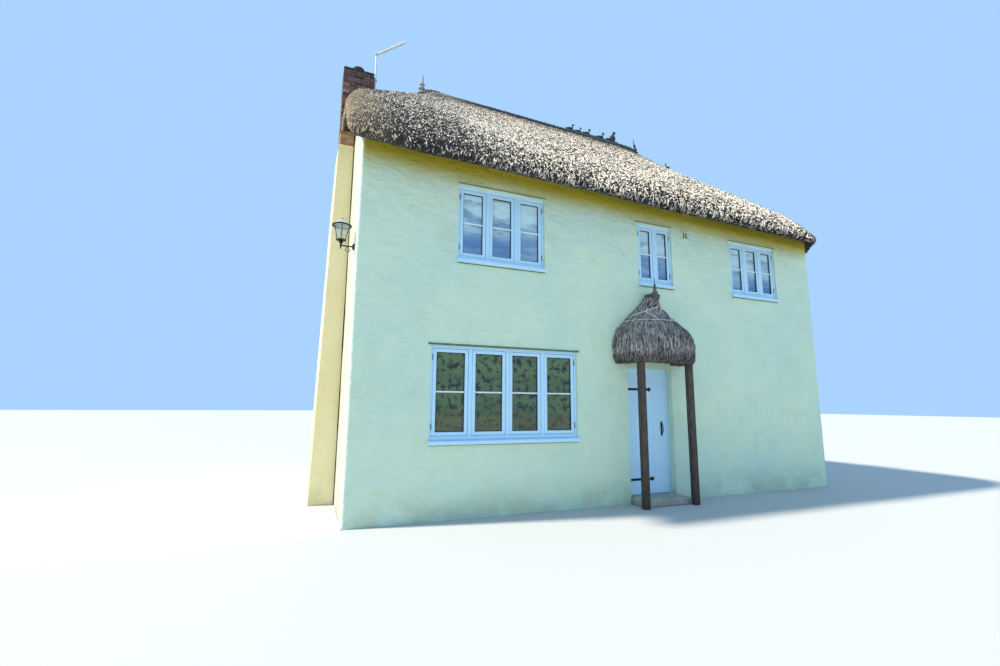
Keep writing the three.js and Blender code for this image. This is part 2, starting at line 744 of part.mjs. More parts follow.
/** A straw cockerel that stands upright and looks to the right, with a low tail. */
function cockerel(size) {
  const parts = [
    new THREE.SphereGeometry(1, 10, 8).scale(61, 44, 78).rotateY(0.2).translate(0, 0, 66),
    limb([0, -60], [0, 40], 34, 34),
    limb([-20, 40], [-128, 52], 30, 10),
    limb([12, 120], [34, 190], 34, 17),
    new THREE.SphereGeometry(1, 8, 6).scale(28, 21, 25).translate(38, 0, 193),
    limb([55, 193], [84, 186], 12, 3),
  ];
  return joined(parts.map((part) => part.scale(size, size, size)));
}

/** The straw bundle on the ridge that carries the ducks and the cockerel. */
function duckRail() {
  const [first, last] = [DUCKS[0].x - 110, COCKEREL_X + 130];
  const ends = [first, last].map((x) => new THREE.Vector3(x, MID_Y, rollTop(x) + 8));
  const section = new THREE.Shape().absarc(0, 0, 30, 0, 2 * Math.PI);
  const extrudePath = new THREE.LineCurve3(...ends);
  return new THREE.ExtrudeGeometry(section, { steps: 1, curveSegments: 5, extrudePath });
}

function addRidge(roof) {
  const roll = ridgeRoll();
  const carrier = roof.add(roll);
  add('thatch_roof', roof, thatch());
  add('thatch_ridge', seated(roll, roof), darkThatch());
  for (const [name, sizes] of [['left_ridge_finial', LEFT_FINIAL], ['right_ridge_finial', RIGHT_FINIAL]]) {
    const knot = finial(sizes, ROLL_RADIUS).translate(sizes.x, MID_Y, rollTop(sizes.x));
    add(name, seated(solid(knot), carrier), darkThatch());
  }
  const flock = DUCKS.map(({ x, size }) => duck(size).translate([x, MID_Y, rollTop(x)]));
  flock.push(cockerel(COCKEREL_SIZE).translate([COCKEREL_X, MID_Y, rollTop(COCKEREL_X)]));
  add('straw_ducks', seated(joined([duckRail(), ...flock]), carrier), darkThatch());
  const { x, y, size } = HIP_BIRD;
  const bird = duck(size).rotate([0, 0, 180]).translate([x, y, thatchHeight(x, y)]);
  add('hip_bird', seated(bird, carrier), darkThatch());
}

// The porch

// The hood from its hollow's top round the skirt to its own top: half width, reach and height
const HOOD = [
  [0, 0, 2700], [250, 230, 2560], [420, 400, 2330], [495, 480, 2150], [565, 550, 2065], [645, 630, 2085],
  [685, 665, 2170], [695, 670, 2290], [680, 640, 2420], [640, 580, 2540], [560, 490, 2635], [475, 400, 2730],
  [375, 290, 2830], [280, 252, 2915], [185, 240, 3000], [110, 233, 3090], [75, 226, 3150], [40, 205, 3180],
  [0, 0, 3190],
];

/** The hood before it is cut back to the wall: a bell that is open below. */
function porchBell() {
  const bell = turned(HOOD.map(([width, , height]) => [width, height]), 28);
  const { position } = bell.attributes;
  for (let i = 0; i < position.count; i += 1) {
    const [width, reach] = HOOD[i % HOOD.length];
    if (width > 0) position.setY(i, (position.getY(i) * reach) / width);
  }
  return bell.translate(PORCH_X, 0, 0);
}

/** The posts, and the plates that carry the hood, which can be grown on all sides. */
function porchTimbers(grow) {
  const [low, high] = [PLATE_FOOT - grow, PLATE_FOOT + POST + grow];
  const [front, back] = [-PORCH_FRONT, -PORCH_FRONT + POST];
  const [left, right] = [PORCH_X - PORCH_SIDE, PORCH_X + PORCH_SIDE];
  const parts = [block(left - grow, right + grow, front - grow, back + grow, low, high)];
  for (const x of [left, right - POST]) {
    parts.push(block(x - grow, x + POST + grow, front, 0, low, high));
    parts.push(block(x, x + POST, front, back, 0, high));
  }
  return joined(parts);
}

function addPorch() {
  const behind = solid(block(0, LENGTH, 0, WALL * 4, 0, TALL));
  const hood = solid(porchBell()).subtract(behind).subtract(porchTimbers(SEAT_GAP));
  const reach = 60 - PORCH_FINIAL_Y;
  const rollRadius = 52;
  const rollHeight = 3135;
  const roll = new THREE.CylinderGeometry(rollRadius, rollRadius, reach, 14)
    .translate(PORCH_X, -reach / 2, rollHeight);
  const topKnot = finial(PORCH_FINIAL, rollRadius / 2)
    .translate(PORCH_X, PORCH_FINIAL_Y, rollHeight + rollRadius);
  add('porch_thatch', hood, darkThatch());
  add('porch_ridge', seated(solid(roll), hood), darkThatch());
  add('porch_finial', seated(solid(topKnot), hood.add(solid(roll))), darkThatch());
  add('porch_timbers', porchTimbers(0), darkTimber());
}

// Small pieces on the walls

function ventPlate() {
  const { x, z, width, height, plate, proud } = VENT;
  const inset = 10;
  const slot = 32;
  const rib = 20;
  const face = block(x - width / 2, x + width / 2, -proud, 0, z - height / 2, z + height / 2);
  const neck = block(
    x - width / 2 + inset, x + width / 2 - inset, -proud, plate,
    z - height / 2 + inset, z + height / 2 - inset,
  );
  const slots = [x - rib / 2 - slot, x + rib / 2].map((from) => block(
    from, from + slot, -WALL, WALL, z - height / 2 + 3 * inset, z + height / 2 - 3 * inset,
  ));
  return pierced(joined([face, neck]), slots);
}

/** The lantern's wall plate, arm and stem. */
function lanternBracket() {
  const { x, y, z } = LANTERN;
  const armHeight = z - 40;
  const plate = new THREE.CylinderGeometry(45, 45, 20, 16).rotateZ(Math.PI / 2).translate(-10, y, armHeight);
  const arm = new THREE.CylinderGeometry(9, 9, -x, 8).rotateZ(Math.PI / 2).translate(x / 2, y, armHeight);
  const stem = turned([
    [0, -88], [10, -78], [7, -62], [15, -48], [15, -32], [9, -22], [24, -10], [24, 10], [12, 20], [62, 30],
    [0, 30],
  ], 12).translate(x, y, z);
  return joined([plate, arm, stem]);
}

function lanternGlass() {
  const { x, y, z } = LANTERN;
  const points = [[52, 30.3], [58, 30.3], [104, 230], [98, 230], [52, 30.3]]
    .map(([radius, height]) => new THREE.Vector2(radius, height));
  return new THREE.LatheGeometry(points, 12).rotateX(Math.PI / 2).translate(x, y, z);
}

function lanternCap() {
  const { x, y, z } = LANTERN;
  return turned([
    [0, 230.3], [128, 230.3], [128, 238], [92, 262], [56, 290], [24, 312], [12, 322], [18, 332], [0, 344],
  ], 12).translate(x, y, z);
}

function addWallPieces() {
  add('wall_vent', ventPlate(), stone());
  add('lantern_bracket', lanternBracket(), blackIron());
  add('lantern_glass', lanternGlass(), glass());
  add('lantern_cap', lanternCap(), blackIron());
}

addShell();
addRidge(thatchRoof());
addFrontWindows();
addBackWindows();
addDoors();
addChimney();
addPorch();
addWallPieces();
cottage.position.set(-LENGTH / 2, -MID_Y, 0);

export default cottage;
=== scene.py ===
"""Dresses a packed thatched cottage: thatch, limewashed walls, joinery, brickwork and ironwork.

Metres, in the row frame: +X along the front from the chimney end, +Y into the house, +Z up.
The middle of the house's plan at ground level is the origin.
"""

import logging
import math
import random
from collections.abc import Iterable, Sequence
from dataclasses import dataclass, field
from enum import Enum

import bmesh
import bpy
import numpy as np
from mathutils import Matrix, Vector, noise


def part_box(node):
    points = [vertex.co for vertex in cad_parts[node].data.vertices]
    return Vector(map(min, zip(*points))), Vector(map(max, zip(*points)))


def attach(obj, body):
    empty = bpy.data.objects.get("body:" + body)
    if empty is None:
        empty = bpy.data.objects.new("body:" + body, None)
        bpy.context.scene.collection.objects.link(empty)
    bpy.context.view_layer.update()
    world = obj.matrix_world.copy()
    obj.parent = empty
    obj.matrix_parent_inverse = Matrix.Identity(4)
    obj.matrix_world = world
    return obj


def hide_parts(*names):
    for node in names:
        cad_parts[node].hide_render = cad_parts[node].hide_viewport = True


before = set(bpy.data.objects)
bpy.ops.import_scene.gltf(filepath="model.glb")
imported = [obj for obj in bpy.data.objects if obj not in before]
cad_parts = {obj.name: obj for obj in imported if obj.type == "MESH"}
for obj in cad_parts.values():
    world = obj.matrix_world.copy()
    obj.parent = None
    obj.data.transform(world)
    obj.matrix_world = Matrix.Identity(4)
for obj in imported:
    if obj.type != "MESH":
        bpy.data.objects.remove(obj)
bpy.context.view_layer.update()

LOG = logging.getLogger("cottage")
Colour = tuple[float, float, float]
Point = Sequence[float]
BODY = "root"
HALF_LENGTH = 4.26  # of the walls, from their front left corner to the middle of the plan


class Slot(Enum):
    """The record's material slots, by name."""

    LIMEWASH = "limewash"
    THATCH = "thatch"
    RIDGE = "ridge_thatch"
    JOINERY = "painted_joinery"
    GLASS = "window_glass"
    BRICK = "brick"
    CLAY = "clay"
    MORTAR = "mortar"
    STONE = "stone"
    BOARDS = "floor_boards"
    TIMBER = "dark_timber"
    IRON = "black_iron"
    ALUMINIUM = "aluminium"


class Facing(Enum):
    """Which way a wall piece looks, as its turn about Z from the front."""

    FRONT = 0.0
    BACK = math.pi


# Node trees


class Graph:
    """A node tree that is built by code. Shader and geometry trees share it."""

    def __init__(self, tree: bpy.types.NodeTree) -> None:
        """Empties the tree.

        Args:
            tree: The tree to build in.
        """
        self.tree = tree
        tree.nodes.clear()

    def node(self, kind: str, settings: dict | None = None, values: dict | None = None) -> bpy.types.Node:
        """Adds a node.

        Args:
            kind: The node's type.
            settings: Its own properties, and "stops" for a ramp's positions and colours.
            values: Numbers, signals or sockets for its inputs, by name, identifier or index.

        Returns:
            The new node.
        """
        node = self.tree.nodes.new(kind)
        for key, value in (settings or {}).items():
            if key == "stops":
                self._set_stops(node, value)
            else:
                setattr(node, key, value)
        for key, value in (values or {}).items():
            self.feed(self._socket(node.inputs, key), value)
        return node

    def output(self, node: bpy.types.Node, key: str | int = 0) -> "Signal":
        """A node's output as a signal."""
        return Signal(self, self._socket(node.outputs, key))

    def feed(self, socket: bpy.types.NodeSocket, value: object) -> None:
        """Links a signal or sets a constant on an input.

        Args:
            socket: The input.
            value: A signal, a socket or a constant.
        """
        if isinstance(value, Signal):
            self.tree.links.new(value.socket, socket)
        elif isinstance(value, bpy.types.NodeSocket):
            self.tree.links.new(value, socket)
        elif isinstance(value, tuple) and len(value) == 3 and socket.type == "RGBA":
            socket.default_value = (*value, 1.0)
        else:
            socket.default_value = value

    @staticmethod
    def _socket(sockets: bpy.types.bpy_prop_collection, key: str | int) -> bpy.types.NodeSocket:
        """Finds a socket by index, identifier or name.

        Args:
            sockets: A node's inputs or outputs.
            key: The index, identifier or name.

        Returns:
            The socket.
        """
        if isinstance(key, int):
            return sockets[key]
        for socket in sockets:
            if socket.identifier == key:
                return socket
        return sockets[key]

    @staticmethod
    def _set_stops(node: bpy.types.Node, stops: Sequence[tuple[float, Colour]]) -> None:
        """Gives a ramp its stops.

        Args:
            node: The ramp.
            stops: Positions and colours.
        """
        elements = node.color_ramp.elements
        while len(elements) > 1:
            elements.remove(elements[-1])
        for i, (position, colour) in enumerate(stops):
            element = elements[0] if i == 0 else elements.new(position)
            element.position = position
            element.color = (*colour, 1.0)


class Signal:
    """A socket that can be used in Python expressions."""

    def __init__(self, graph: Graph, socket: bpy.types.NodeSocket) -> None:
        """Wraps a socket of a graph."""
        self.graph = graph
        self.socket = socket

    def _math(self, operation: str, first: object, second: object = 0.0) -> "Signal":
        """Adds a Math node."""
        node = self.graph.node("ShaderNodeMath", {"operation": operation}, {0: first, 1: second})
        return self.graph.output(node)

    def __add__(self, other: object) -> "Signal":
        """Sum."""
        return self._math("ADD", self, other)

    __radd__ = __add__

    def __sub__(self, other: object) -> "Signal":
        """Difference."""
        return self._math("SUBTRACT", self, other)

    def __rsub__(self, other: object) -> "Signal":
        """Difference from a number."""
        return self._math("SUBTRACT", other, self)

    def __mul__(self, other: object) -> "Signal":
        """Product."""
        return self._math("MULTIPLY", self, other)

    __rmul__ = __mul__

    def power(self, exponent: float) -> "Signal":
        """This to a power."""
        return self._math("POWER", self, exponent)

    def between(self, low: float, high: float) -> "Signal":
        """0 at low, 1 at high, and smooth between them. Low may be the larger.

        Args:
            low: Where the result is 0.
            high: Where it is 1.

        Returns:
            The smooth step.
        """
        node = self.graph.node(
            "ShaderNodeMapRange",
            {"interpolation_type": "SMOOTHSTEP"},
            {"Value": self, "From Min": low, "From Max": high, "To Min": 0.0, "To Max": 1.0},
        )
        return self.graph.output(node)


class Finish(Graph):
    """A material with one Principled shader, on the object's own coordinates."""

    def __init__(self, name: str) -> None:
        """Makes the material and its shader.

        Args:
            name: The material's name.
        """
        self.material = bpy.data.materials.new(name)
        self.material.use_nodes = True
        super().__init__(self.material.node_tree)
        self.surface = self.node("ShaderNodeBsdfPrincipled")
        self.node("ShaderNodeOutputMaterial", values={"Surface": self.surface.outputs[0]})
        self.place = self.output(self.node("ShaderNodeTexCoord"), "Object")

    def axis(self, letter: str) -> Signal:
        """One of the object's coordinates, X, Y or Z."""
        node = self.node("ShaderNodeSeparateXYZ", values={0: self.place})
        return self.output(node, letter)

    def stretched(self, scale: Point) -> Signal:
        """The object's coordinates, scaled along each axis."""
        node = self.node("ShaderNodeMapping", values={"Vector": self.place, "Scale": tuple(scale)})
        return self.output(node)

    def noise(
        self, scale: float, detail: float = 3.0, rough: float = 0.55, stretch: Point = (1, 1, 1),
    ) -> Signal:
        """Smooth noise from about 0.25 to 0.75.

        Args:
            scale: Features per metre.
            detail: Octaves.
            rough: Share of the finer octaves.
            stretch: Scale along each axis, for streaks.

        Returns:
            The noise's value.
        """
        node = self.node(
            "ShaderNodeTexNoise",
            values={"Vector": self.stretched(stretch), "Scale": scale, "Detail": detail, "Roughness": rough},
        )
        return self.output(node, "Fac")

    def cells(self, scale: float, stretch: Point = (1, 1, 1), feature: str = "F1") -> Signal:
        """Distance to the nearest cell's middle, or to its edge.

        Args:
            scale: Cells per metre.
            stretch: Scale along each axis.
            feature: The Voronoi node's feature.

        Returns:
            The distance.
        """
        node = self.node(
            "ShaderNodeTexVoronoi",
            {"feature": feature},
            {"Vector": self.stretched(stretch), "Scale": scale},
        )
        return self.output(node, "Distance")

    def attribute(self, name: str) -> Signal:
        """A number kept in the mesh."""
        return self.output(self.node("ShaderNodeAttribute", {"attribute_name": name}), "Fac")

    def ramp(self, value: Signal, stops: Sequence[tuple[float, Colour]]) -> Signal:
        """A colour from a number."""
        return self.output(self.node("ShaderNodeValToRGB", {"stops": stops}, {"Fac": value}), "Color")

    def mix(self, factor: object, first: object, second: object, blend: str = "MIX") -> Signal:
        """A colour between two, or two colours blended.

        Args:
            factor: How much of the second.
            first: A colour or signal.
            second: A colour or signal.
            blend: The Mix node's blend type.

        Returns:
            The mixed colour.
        """
        node = self.node(
            "ShaderNodeMix",
            {"data_type": "RGBA", "blend_type": blend},
            {"Factor_Float": factor, "A_Color": first, "B_Color": second},
        )
        return self.output(node, "Result_Color")

    def bump(
        self, height: Signal, distance: float, strength: float = 1.0, over: Signal | None = None,
    ) -> Signal:
        """A normal from a height.

        Args:
            height: The height, 0 to 1.
            distance: What 1 stands for, in metres.
            strength: How strongly it shows.
            over: A coarser bump under this one.

        Returns:
            The normal.
        """
        values = {"Height": height, "Distance": distance, "Strength": strength}
        if over is not None:
            values["Normal"] = over
        return self.output(self.node("ShaderNodeBump", values=values), "Normal")

    def finished(self, **sockets: object) -> bpy.types.Material:
        """Feeds the Principled shader and returns the material.

        Args:
            sockets: Values by the socket's name, with _ for a space.

        Returns:
            The material.
        """
        for name, value in sockets.items():
            self.feed(self.surface.inputs[name.replace("_", " ")], value)
        return self.material


# Finishes


@dataclass(frozen=True)
class Limewash:
    """Lumpy lime render under many coats of wash."""

    name: str
    wash: Colour
    thin: Colour
    shade: Colour
    eave_left: float = 4.86
    eave_fall: float = 0.029
    # The colour of the painted shadow just under the eave.
    eave_shadow_colour: Colour = (0.16, 0.12, 0.010)
    algae: Colour = (0.36, 0.37, 0.22)
    relief: float = 0.019
    grain: float = 0.0016

    def material(self) -> bpy.types.Material:
        """Washed colour, olive under the eaves as painted shade partly mixed with a damp stain, a darker
        painted shadow just under the eave, trowel marks and a fine grain.

        Returns:
            The material.
        """
        f = Finish(self.name)
        clouds = f.noise(0.9, 4, 0.6)
        lumps = f.noise(3.4, 3, 0.5)
        eave = self.eave_left - self.eave_fall * HALF_LENGTH - self.eave_fall * f.axis("X")
        below = eave - f.axis("Z") + f.noise(1.2, 3) * 0.12
        off_corner = f.axis("X").between(-4.245, -4.20)
        # Painted shade under the eaves, partly a damp stain; kept off the gable's corner.
        band = below.between(0.52, 0.12).power(1.6) * off_corner
        # A darker painted shadow just under the eave, growing towards the right end.
        eave_shadow_line = below.between(0.20, 0.08) * f.axis("X").between(-3.0, 3.0)
        foot = f.axis("Z").between(0.5, 0.0) * f.noise(2.5, 4).between(0.35, 0.6)
        colour = f.mix(clouds.between(0.35, 0.68), self.wash, self.thin)
        colour = f.mix(lumps.between(0.50, 0.72) * 0.10, colour, self.shade)
        colour = f.mix(band * 0.98, colour, self.shade)
        colour = f.mix(eave_shadow_line * 0.40, colour, self.eave_shadow_colour)
        colour = f.mix(foot * 0.35, colour, self.algae)
        wrinkles = f.noise(3.2, 5, 0.62).between(0.3, 0.7) * 0.7 + f.cells(2.4, feature="SMOOTH_F1") * 0.5
        ripples = f.noise(7.5, 4, 0.55, (1.0, 1.0, 1.6)).between(0.36, 0.64)
        marks = f.bump(wrinkles + ripples * 0.25, self.relief, 0.85)
        grain = f.bump(f.noise(95, 3), self.grain, 0.5, marks)
        rough = 0.82 + clouds * 0.16
        return f.finished(Base_Color=colour, Roughness=rough, Normal=grain)


@dataclass(frozen=True)
class Reed:
    """Cut reed: each tuft has its own tone; the near-black ones stand in for the shade in the gaps, and the
    reed is darker under the eave as painted shade.
    """

    name: str
    # Near-black tufts: painted shade in the gaps between the reeds.
    dark: Colour = (0.018, 0.016, 0.019)
    brown: Colour = (0.20, 0.16, 0.12)
    cream: Colour = (0.74, 0.63, 0.49)
    pale: Colour = (0.96, 0.86, 0.71)
    weathering_and_hip_shade: float = 1.0
    lip: float = 0.82
    rim: Colour = (0.66, 0.50, 0.28)
    # Grey painted shade along the hips, where the slope turns from the key light.
    grey: Colour = (0.10, 0.105, 0.12)
    ridge_tint: Colour = (0.92, 0.80, 0.66)
    shaded: Colour = (0.10, 0.09, 0.13)

    def material(self) -> bpy.types.Material:
        """A tone for each tuft, dark low at the chimney end, with grey painted shade along the hips, an olive
        left rim, warmer towards the ridge, and painted shade at the eave.

        Returns:
            The material.
        """
        f = Finish(self.name)
        down = f.attribute("down")
        along = f.axis("X")
        left = along.between(-2.4, -3.1)
        left_low = left * down.between(0.25, 0.90)
        change = along.between(-3.0, 1.5) * -0.12 + 0.22 - left * 0.07 - left_low * 0.26
        # Painted shade: the tone drops over the eave's brow.
        change = change - down.between(0.92, 1.04) * 0.22
        rim = along.between(-3.75, -4.45) * self.weathering_and_hip_shade
        change = change + rim * 0.12
        tone = f.attribute("shade") + change * self.weathering_and_hip_shade + (f.noise(1.3, 4, 0.6) - 0.5) * 0.45
        # The near-black stops are painted shade in the gaps.
        colour = f.ramp(tone, [
            (0.0, self.dark), (0.38, self.dark), (0.44, self.brown), (0.50, self.cream), (0.62, self.cream),
            (0.72, self.pale),
        ])
        colour = f.mix(rim * 0.75, colour, self.rim)
        # Painted shade along the hips.
        colour = f.mix(f.attribute("hip") * 0.75 * self.weathering_and_hip_shade, colour, self.grey)
        # Warmer towards the ridge.
        warm = down.between(0.6, 0.1) * self.weathering_and_hip_shade
        colour = f.mix(warm * 0.45, colour, self.ridge_tint, "MULTIPLY")
        colour = f.mix(down.between(1.06, 1.20) * self.lip, colour, self.shaded, "MULTIPLY")
        stems = f.bump(f.noise(220, 2), 0.002, 0.6)
        return f.finished(Base_Color=colour, Roughness=0.92, Normal=stems)


@dataclass(frozen=True)
class Straw:
    """Dark weathered straw, streaked along its length."""

    name: str
    dark: Colour = (0.012, 0.012, 0.015)
    light: Colour = (0.080, 0.083, 0.095)
    stretch: tuple[float, float, float] = (1.0, 1.0, 0.12)
    scale: float = 90.0
    lichen: Colour = (0.12, 0.115, 0.10)

    def material(self) -> bpy.types.Material:
        """Fine streaks, with lichen-grey patches.

        Returns:
            The material.
        """
        f = Finish(self.name)
        streaks = f.noise(self.scale, 3, 0.6, self.stretch)
        patches = f.noise(7, 3).between(0.35, 0.65)
        colour = f.ramp(streaks.between(0.32, 0.68), [(0.0, self.dark), (1.0, self.light)])
        colour = f.mix(patches * 0.30, colour, self.lichen)
        height = f.bump(streaks, 0.006, 0.8)
        return f.finished(Base_Color=colour, Roughness=0.9, Normal=height)


@dataclass(frozen=True)
class RidgeStraw:
    """The ridge's roll: pinkish straw at the chimney end and slate-dark towards the hip."""

    name: str
    near: Colour = (0.50, 0.38, 0.32)
    far: Colour = (0.035, 0.038, 0.050)
    gaps: Colour = (0.020, 0.018, 0.022)

    def material(self) -> bpy.types.Material:
        """Strands along the ridge, over the change of colour.

        Returns:
            The material.
        """
        f = Finish(self.name)
        strands = f.noise(70, 3, 0.6, (0.10, 1.0, 1.0))
        turn = (f.axis("X") + f.noise(1.2, 3) * 0.8).between(-2.3, -1.3)
        colour = f.mix(turn, self.near, self.far)
        # Near-black where the strands part: painted shade in the gaps.
        colour = f.mix(strands.between(0.62, 0.38) * 0.75, colour, self.gaps)
        return f.finished(Base_Color=colour, Roughness=0.9, Normal=f.bump(strands, 0.006, 0.8))


@dataclass(frozen=True)
class Paint:
    """Brushed gloss paint on timber, chalky where it has weathered."""

    name: str
    colour: Colour
    chalk: Colour
    roughness: float = 0.42
    grime: Colour = (0.30, 0.34, 0.36)

    def material(self) -> bpy.types.Material:
        """Brush marks, chalking and patches of grime.

        Returns:
            The material.
        """
        f = Finish(self.name)
        chalking = f.noise(5, 4, 0.6).between(0.35, 0.7)
        brushed = f.noise(160, 2, 0.5, (0.08, 1, 1)) * 0.5 + f.noise(160, 2, 0.5, (1, 1, 0.08)) * 0.5
        colour = f.mix(chalking * 0.5, self.colour, self.chalk)
        colour = f.mix(f.noise(30, 4).between(0.58, 0.75) * 0.18, colour, self.grime)
        normal = f.bump(brushed, 0.0012, 0.35)
        return f.finished(Base_Color=colour, Roughness=self.roughness + chalking * 0.2, Normal=normal)


@dataclass(frozen=True)
class WindowGlass:
    """Old glass, cool and slightly wavy, that keeps the room behind it dim; its colour is a painted
    reflection.
    """

    name: str
    low: Colour = (0.057, 0.19, 0.42)
    high: Colour = (0.68, 0.92, 0.93)
    opacity: float = 0.92
    foot: float = 3.50
    head: float = 4.40
    patches: Colour = (0.09, 0.23, 0.38)
    grain: float = 3.4
    streak: Point = (0.5, 0.5, 1.7)
    blotch: float = 0.60

    def material(self) -> bpy.types.Material:
        """A painted reflection: tone that deepens downwards, with soft cloudy bands and mottling, and a wavy
        polished face.

        Returns:
            The material.
        """
        f = Finish(self.name)
        # Painted reflection: pale at the head, deeper towards the foot, in cloudy bands.
        deep = f.axis("Z").between(self.head, self.foot)
        bands = f.noise(1.7, 4, 0.55, (0.5, 0.5, 2.4)).between(0.38, 0.62)
        colour = f.mix(deep * 0.80 + (bands - 0.5) * 0.38, self.high, self.low)
        reflection_mottling = f.noise(self.grain, 5, 0.6, self.streak).between(0.48, 0.62)
        colour = f.mix(reflection_mottling * self.blotch, colour, self.patches)
        waves = f.bump(f.noise(6, 2), 0.004, 0.35)
        return f.finished(
            Base_Color=colour, Roughness=0.05, Normal=waves, Alpha=self.opacity,
            Specular_IOR_Level=0.6, Coat_Weight=0.3, Coat_Roughness=0.02,
        )


@dataclass(frozen=True)
class Fired:
    """Fired clay, as bricks or a pot: each piece has its own tone, with soot towards the top."""

    name: str
    stops: tuple[tuple[float, Colour], ...]
    soot_from: float
    soot_to: float
    grain: float = 0.003
    smoke: Colour = (0.025, 0.022, 0.022)

    def material(self) -> bpy.types.Material:
        """A tone for each piece, burnt faces, pitting and soot.

        Returns:
            The material.
        """
        f = Finish(self.name)
        tone = f.attribute("shade") * 0.75 + f.noise(28, 4, 0.65) * 0.3
        colour = f.ramp(tone, self.stops)
        soot = f.axis("Z") + f.noise(5, 3) * 0.25
        colour = f.mix(soot.between(self.soot_from, self.soot_to) * 0.8, colour, self.smoke)
        pits = f.bump(f.noise(130, 4, 0.7), self.grain, 0.8)
        return f.finished(Base_Color=colour, Roughness=0.9, Normal=pits)


@dataclass(frozen=True)
class Rough:
    """Mortar or stone: two tones and a coarse grain."""

    name: str
    first: Colour
    second: Colour
    scale: float = 12.0
    depth: float = 0.004
    speck: Colour = (0.12, 0.11, 0.10)

    def material(self) -> bpy.types.Material:
        """Blotches and grit.

        Returns:
            The material.
        """
        f = Finish(self.name)
        blotches = f.noise(self.scale, 5, 0.65)
        grit = f.noise(self.scale * 14, 3)
        colour = f.mix(blotches.between(0.35, 0.65), self.first, self.second)
        colour = f.mix(grit.between(0.55, 0.7) * 0.3, colour, self.speck)
        height = f.bump(blotches + grit * 0.3, self.depth, 0.8)
        return f.finished(Base_Color=colour, Roughness=0.93, Normal=height)


@dataclass(frozen=True)
class Wood:
    """Sawn or worn timber with its grain along one axis."""

    name: str
    dark: Colour
    light: Colour
    along: tuple[float, float, float]

    def material(self) -> bpy.types.Material:
        """Grain, knots' soft swirls and weathered tone.

        Returns:
            The material.
        """
        f = Finish(self.name)
        swirl = f.noise(3.5, 3, 0.5, self.along)
        grain = f.noise(70, 4, 0.6, self.along)
        colour = f.mix(grain.between(0.35, 0.65), self.dark, self.light)
        colour = f.mix(swirl.between(0.5, 0.7) * 0.4, colour, self.dark)
        return f.finished(Base_Color=colour, Roughness=0.68 + grain * 0.2, Normal=f.bump(grain, 0.003, 0.6))


@dataclass(frozen=True)
class Metal:
    """Painted iron or dull aluminium."""

    name: str
    colour: Colour
    spots: Colour
    metallic: float
    roughness: float

    def material(self) -> bpy.types.Material:
        """A dull face with spots of rust or oxide.

        Returns:
            The material.
        """
        f = Finish(self.name)
        patches = f.noise(45, 4, 0.65)
        colour = f.mix(patches.between(0.55, 0.72) * 0.6, self.colour, self.spots)
        normal = f.bump(f.noise(220, 3), 0.0008, 0.5)
        rough = self.roughness + patches * 0.2
        return f.finished(Base_Color=colour, Metallic=self.metallic, Roughness=rough, Normal=normal)


